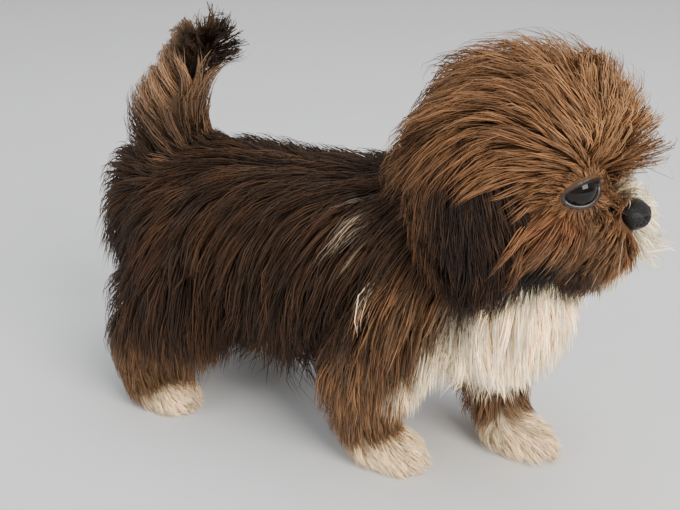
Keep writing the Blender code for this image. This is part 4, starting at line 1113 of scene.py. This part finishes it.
def coatMaterial(name, streaks, rough):
    # markings with lighter and darker locks, single hairs that differ, and paler ends
    t, feed = newMaterial(name, {"Specular IOR Level": 0.26})
    base = t.attribute("markings", "Color")
    lot, lock, along = t.attribute("lot"), t.attribute("lock"), t.attribute("along")
    across = t.attribute("across")
    broad = t.noise(38, 2)
    warm = t.mixed(base, (*streaks, 1), 1.0, "MULTIPLY")
    light = (lock * 0.6 + lot * 0.4 + broad * 0.5).step(0.62, 1.08)
    colour = t.mixed(base, warm, light)
    # the across term darkens each hair at its two edges against its ridge: painted shade
    value = 0.72 + 0.30 * lot + 0.22 * lock + 0.22 * along - 0.12 * across * across
    fine = t.node("ShaderNodeCombineXYZ", {}, {"X": across * 2.2, "Y": along * 1.5, "Z": lot * 60})
    thread = t.noise(1.0, 2, fine)
    colour = t.scaled(colour, value * (0.8 + 0.4 * thread))
    return feed(Base_Color=colour, Roughness=rough + 0.16 * lot - 0.08 * thread,
                Normal=t.bump(thread, 0.25, 0.0002))


finishes = {
    "coat_dark": coatMaterial("bodyCoat", (2.0, 1.75, 1.5), 0.45),
    "coat_head": coatMaterial("headCoat", (1.55, 1.5, 1.4), 0.45),
    "coat_ear": coatMaterial("earCoat", (2.6, 2.4, 2.2), 0.47),
    "coat_tail": coatMaterial("tailCoat", (1.7, 1.55, 1.4), 0.46),
    "coat_leg": coatMaterial("legCoat", (1.4, 1.35, 1.3), 0.46),
}

t, feed = newMaterial("skinUnderCoat", {"Specular IOR Level": 0.2})
grain = t.noise(900, 3)
# the markings darkened to between a third and two thirds: painted shade under the coat, varied by the
# skin's own grain
skinGrainAndShade = t.scaled(t.attribute("markings", "Color"), 0.35 + 0.3 * grain)
skinFinish = feed(Base_Color=skinGrainAndShade, Roughness=0.7 + 0.2 * grain, Normal=t.bump(grain, 0.5, 0.0004))

t, feed = newMaterial("lidSkin", {"Specular IOR Level": 0.6})
wet, grain = t.attribute("rim"), t.noise(1500, 3)
fur = t.scaled(t.attribute("markings", "Color"), 0.5 + 0.3 * grain)
lidColour = t.mixed(fur, (0.008, 0.008, 0.010, 1), wet)
lidFinish = feed(Base_Color=lidColour, Roughness=0.62 - 0.34 * wet + 0.1 * grain,
                 Normal=t.bump(grain, 0.35, 0.0002))

t, feed = newMaterial("wetEye", {"Specular IOR Level": 0.12, "Coat Weight": 0.3, "Coat Roughness": 0.02})
gaze, fibre = t.attribute("fromAxis"), t.noise(1400, 4)
iris = t.mixed((0.011, 0.0055, 0.003, 1), (0.005, 0.003, 0.002, 1), fibre)
ringed = t.mixed((0.0015, 0.0013, 0.0013, 1), iris, gaze.step(0.20, 0.235))
dim = t.mixed(ringed, (0.004, 0.0035, 0.0035, 1), (gaze + 0.02 * fibre).step(0.50, 0.56))
white = t.mixed(dim, (0.16, 0.13, 0.12, 1), (gaze + 0.03 * fibre).step(0.66, 0.80))
eyeFinish = feed(Base_Color=white, Roughness=0.05 + 0.06 * fibre)

t, feed = newMaterial("noseLeather", {"Specular IOR Level": 0.28, "Coat Weight": 0.06,
                                      "Coat Roughness": 0.2})
place = t.node("ShaderNodeTexCoord", output="Object")
cells = t.node("ShaderNodeTexVoronoi", {"feature": "DISTANCE_TO_EDGE"}, {"Vector": place, "Scale": 1150.0})
sunk, mottle = t.attribute("hollow"), t.noise(500, 3)
leather = t.mixed((0.003, 0.003, 0.003, 1), (0.009, 0.008, 0.0075, 1), mottle)
# nostrils and the groove below darker by their depth: painted shade in the hollows
leather = t.mixed(leather, (0.001, 0.0008, 0.0008, 1), sunk.step(0.12, 0.5))
noseFinish = feed(Base_Color=leather, Roughness=0.34 + 0.18 * mottle,
                  Normal=t.bump(cells.step(0.0, 0.25), 0.55, 0.00025))

t, feed = newMaterial("clawHorn", {"Specular IOR Level": 0.5})
lines = t.noise(700, 4)
clawFinish = feed(Base_Color=t.mixed((0.16, 0.11, 0.075, 1), (0.07, 0.045, 0.03, 1), lines),
                  Roughness=0.3 + 0.2 * lines, Normal=t.bump(lines, 0.2, 0.0002))

t, feed = newMaterial("whiskerHair", {"Specular IOR Level": 0.5})
shade = t.noise(60, 2)
whiskerFinish = feed(Base_Color=t.mixed((0.06, 0.04, 0.03, 1), (0.42, 0.34, 0.26, 1), shade.step(0.4, 0.6)),
                     Roughness=0.35 + 0.15 * shade)

t, feed = newMaterial("lashHair", {"Specular IOR Level": 0.4})
shade = t.noise(400, 2)
lashFinish = feed(Base_Color=t.mixed((0.010, 0.007, 0.006, 1), (0.035, 0.02, 0.013, 1), shade),
                  Roughness=0.4 + 0.2 * shade)


# Whiskers on the muzzle and brows, lashes along the upper lid, claws at the toes
def arched(start, way, bend, length, steps=7):
    start, way, bend = np.array(start), unit(np.array(way, float)), np.array(bend, float)
    return [start + way * length * t + bend * length * t * t for t in np.linspace(0, 1, steps)]


whisker = {"rows": 3, "each": 4, "length": (12, 19)}
paths = []
for side in (-1, 1):
    for row in range(whisker["rows"]):
        for k in range(whisker["each"]):
            start = (96 - 4.5 * k, side * (10.5 + 1.3 * k), 127 - 3.4 * row - 0.6 * k)
            length = rng.uniform(*whisker["length"])
            way = (0.35 - 0.3 * k, side * 1.0, 0.05 - 0.22 * row + rng.uniform(-0.08, 0.08))
            paths.append(arched(start, way, (-0.12, 0, -0.22), length))
    for k in range(3):
        start = np.array(atSide((82 + 2 * k, -13.5 + 2 * k, 156), side))
        paths.append(arched(start, (0.5, side * 0.5, 0.7), (0, 0, -0.1), rng.uniform(9, 13)))
whiskers = taperedPiece("whiskers", paths, whiskerFinish,
                        {"Thickness": 0.00034, "Tip Share": 0.15, "Rings": 9, "Sides": 6})

lash = {"count": 22, "length": (2.6, 3.8)}
paths = []
for side in (-1, 1):
    eye, axis, (across, up) = eyeFrame(side)
    for k in range(lash["count"]):
        phi = math.radians(18 + 144 * (k + rng.uniform(-0.3, 0.3)) / (lash["count"] - 1))
        angle = float(openingAngle(np.array(phi))) + math.radians(2)
        flat = across * math.cos(phi) + up * math.sin(phi)
        way = axis * math.cos(angle) + flat * math.sin(angle)
        start = eye + way * (eyeRadius + 0.6)
        paths.append(arched(start, way * 0.8 + flat * 0.5, (0, 0, -0.1), rng.uniform(*lash["length"]), 5))
lashes = taperedPiece("lashes", paths, lashFinish,
                      {"Thickness": 0.00024, "Tip Share": 0.15, "Rings": 6, "Sides": 5})

claw = {"length": 4.6, "drop": 0.42}
paths = []
for name, place in paws.items():
    for acrossToe, aheadToe in zip(toes["across"], toes["ahead"]):
        start = place + Vector((aheadToe + 3.6, acrossToe * 1.04, -2.2))
        way = (1, acrossToe * 0.02, -0.18)
        paths.append(arched(start, way, (0, 0, -claw["drop"]), claw["length"], 7))
claws = taperedPiece("claws", paths, clawFinish,
                     {"Thickness": 0.0019, "Tip Share": 0.28, "Rings": 10, "Sides": 12})
print("whiskers, lashes and claws made")

# Every piece gets its finish, rides on the one body, and stands for its solids
pieces = [(skin, skinFinish, "coat_dark"), (nose, noseFinish, "nose"),
          (whiskers, whiskerFinish, "coat_head"), (lashes, lashFinish, "coat_head"),
          (claws, clawFinish, "claw")]
pieces += [(piece, lidFinish, "coat_head") for piece in lids]
pieces += [(piece, eyeFinish, "eye") for piece in eyes]
pieces += [(piece, finishes[slotName], slotName) for piece, slotName in coatPieces]
for piece, finish, slotName in pieces:
    piece.data.materials.clear()
    piece.data.materials.append(finish)
    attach(piece, "root")
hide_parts("head", "neck", "torso", "tail_base", "tail_tip", "foreleg_right", "foreleg_left",
            "hindleg_right", "hindleg_left", "ear_right", "ear_left")
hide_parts("eye_right")
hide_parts("eye_left")
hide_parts("nose")

# Studio: a wide pale floor, soft lights and a pale room
studio = {"wide": 4.0, "key": 30, "fill": 8, "top": 12, "room": 0.62}
bm = bmesh.new()
bmesh.ops.create_grid(bm, x_segments=2, y_segments=2, size=studio["wide"])
floor = bmeshObject("studioFloor", bm)
t, feed = newMaterial("palePaper", {"Specular IOR Level": 0.3})
paper = t.noise(45, 3)
floor.data.materials.append(feed(Base_Color=t.mixed((0.74, 0.75, 0.76, 1), (0.78, 0.79, 0.80, 1), paper),
                                 Roughness=0.7 + 0.1 * paper))

world = bpy.data.worlds.new("paleRoom")
world.use_nodes = True
world.node_tree.nodes["Background"].inputs["Color"].default_value = (0.90, 0.895, 0.885, 1)
world.node_tree.nodes["Background"].inputs["Strength"].default_value = studio["room"]
bpy.context.scene.world = world


def softLight(name, place, aim, size, power, colour):
    data = bpy.data.lights.new(name, "AREA")
    data.shape = "RECTANGLE"
    data.size, data.size_y = size
    data.energy = power
    data.color = colour
    light = newObject(name, data)
    light.location = place
    light.rotation_mode = "QUATERNION"
    light.rotation_quaternion = (Vector(aim) - Vector(place)).to_track_quat("-Z", "Y")


softLight("window", (1.25, -0.55, 0.95), (0.03, 0, 0.1), (0.9, 0.9), studio["key"], (1.0, 0.96, 0.9))
softLight("skyTop", (0.1, 0.2, 1.5), (0, 0, 0.08), (1.2, 1.2), studio["top"], (0.95, 0.97, 1.0))
softLight("fill", (-0.9, -1.2, 0.7), (-0.02, 0, 0.08), (1.2, 0.9), studio["fill"], (0.95, 0.97, 1.0))
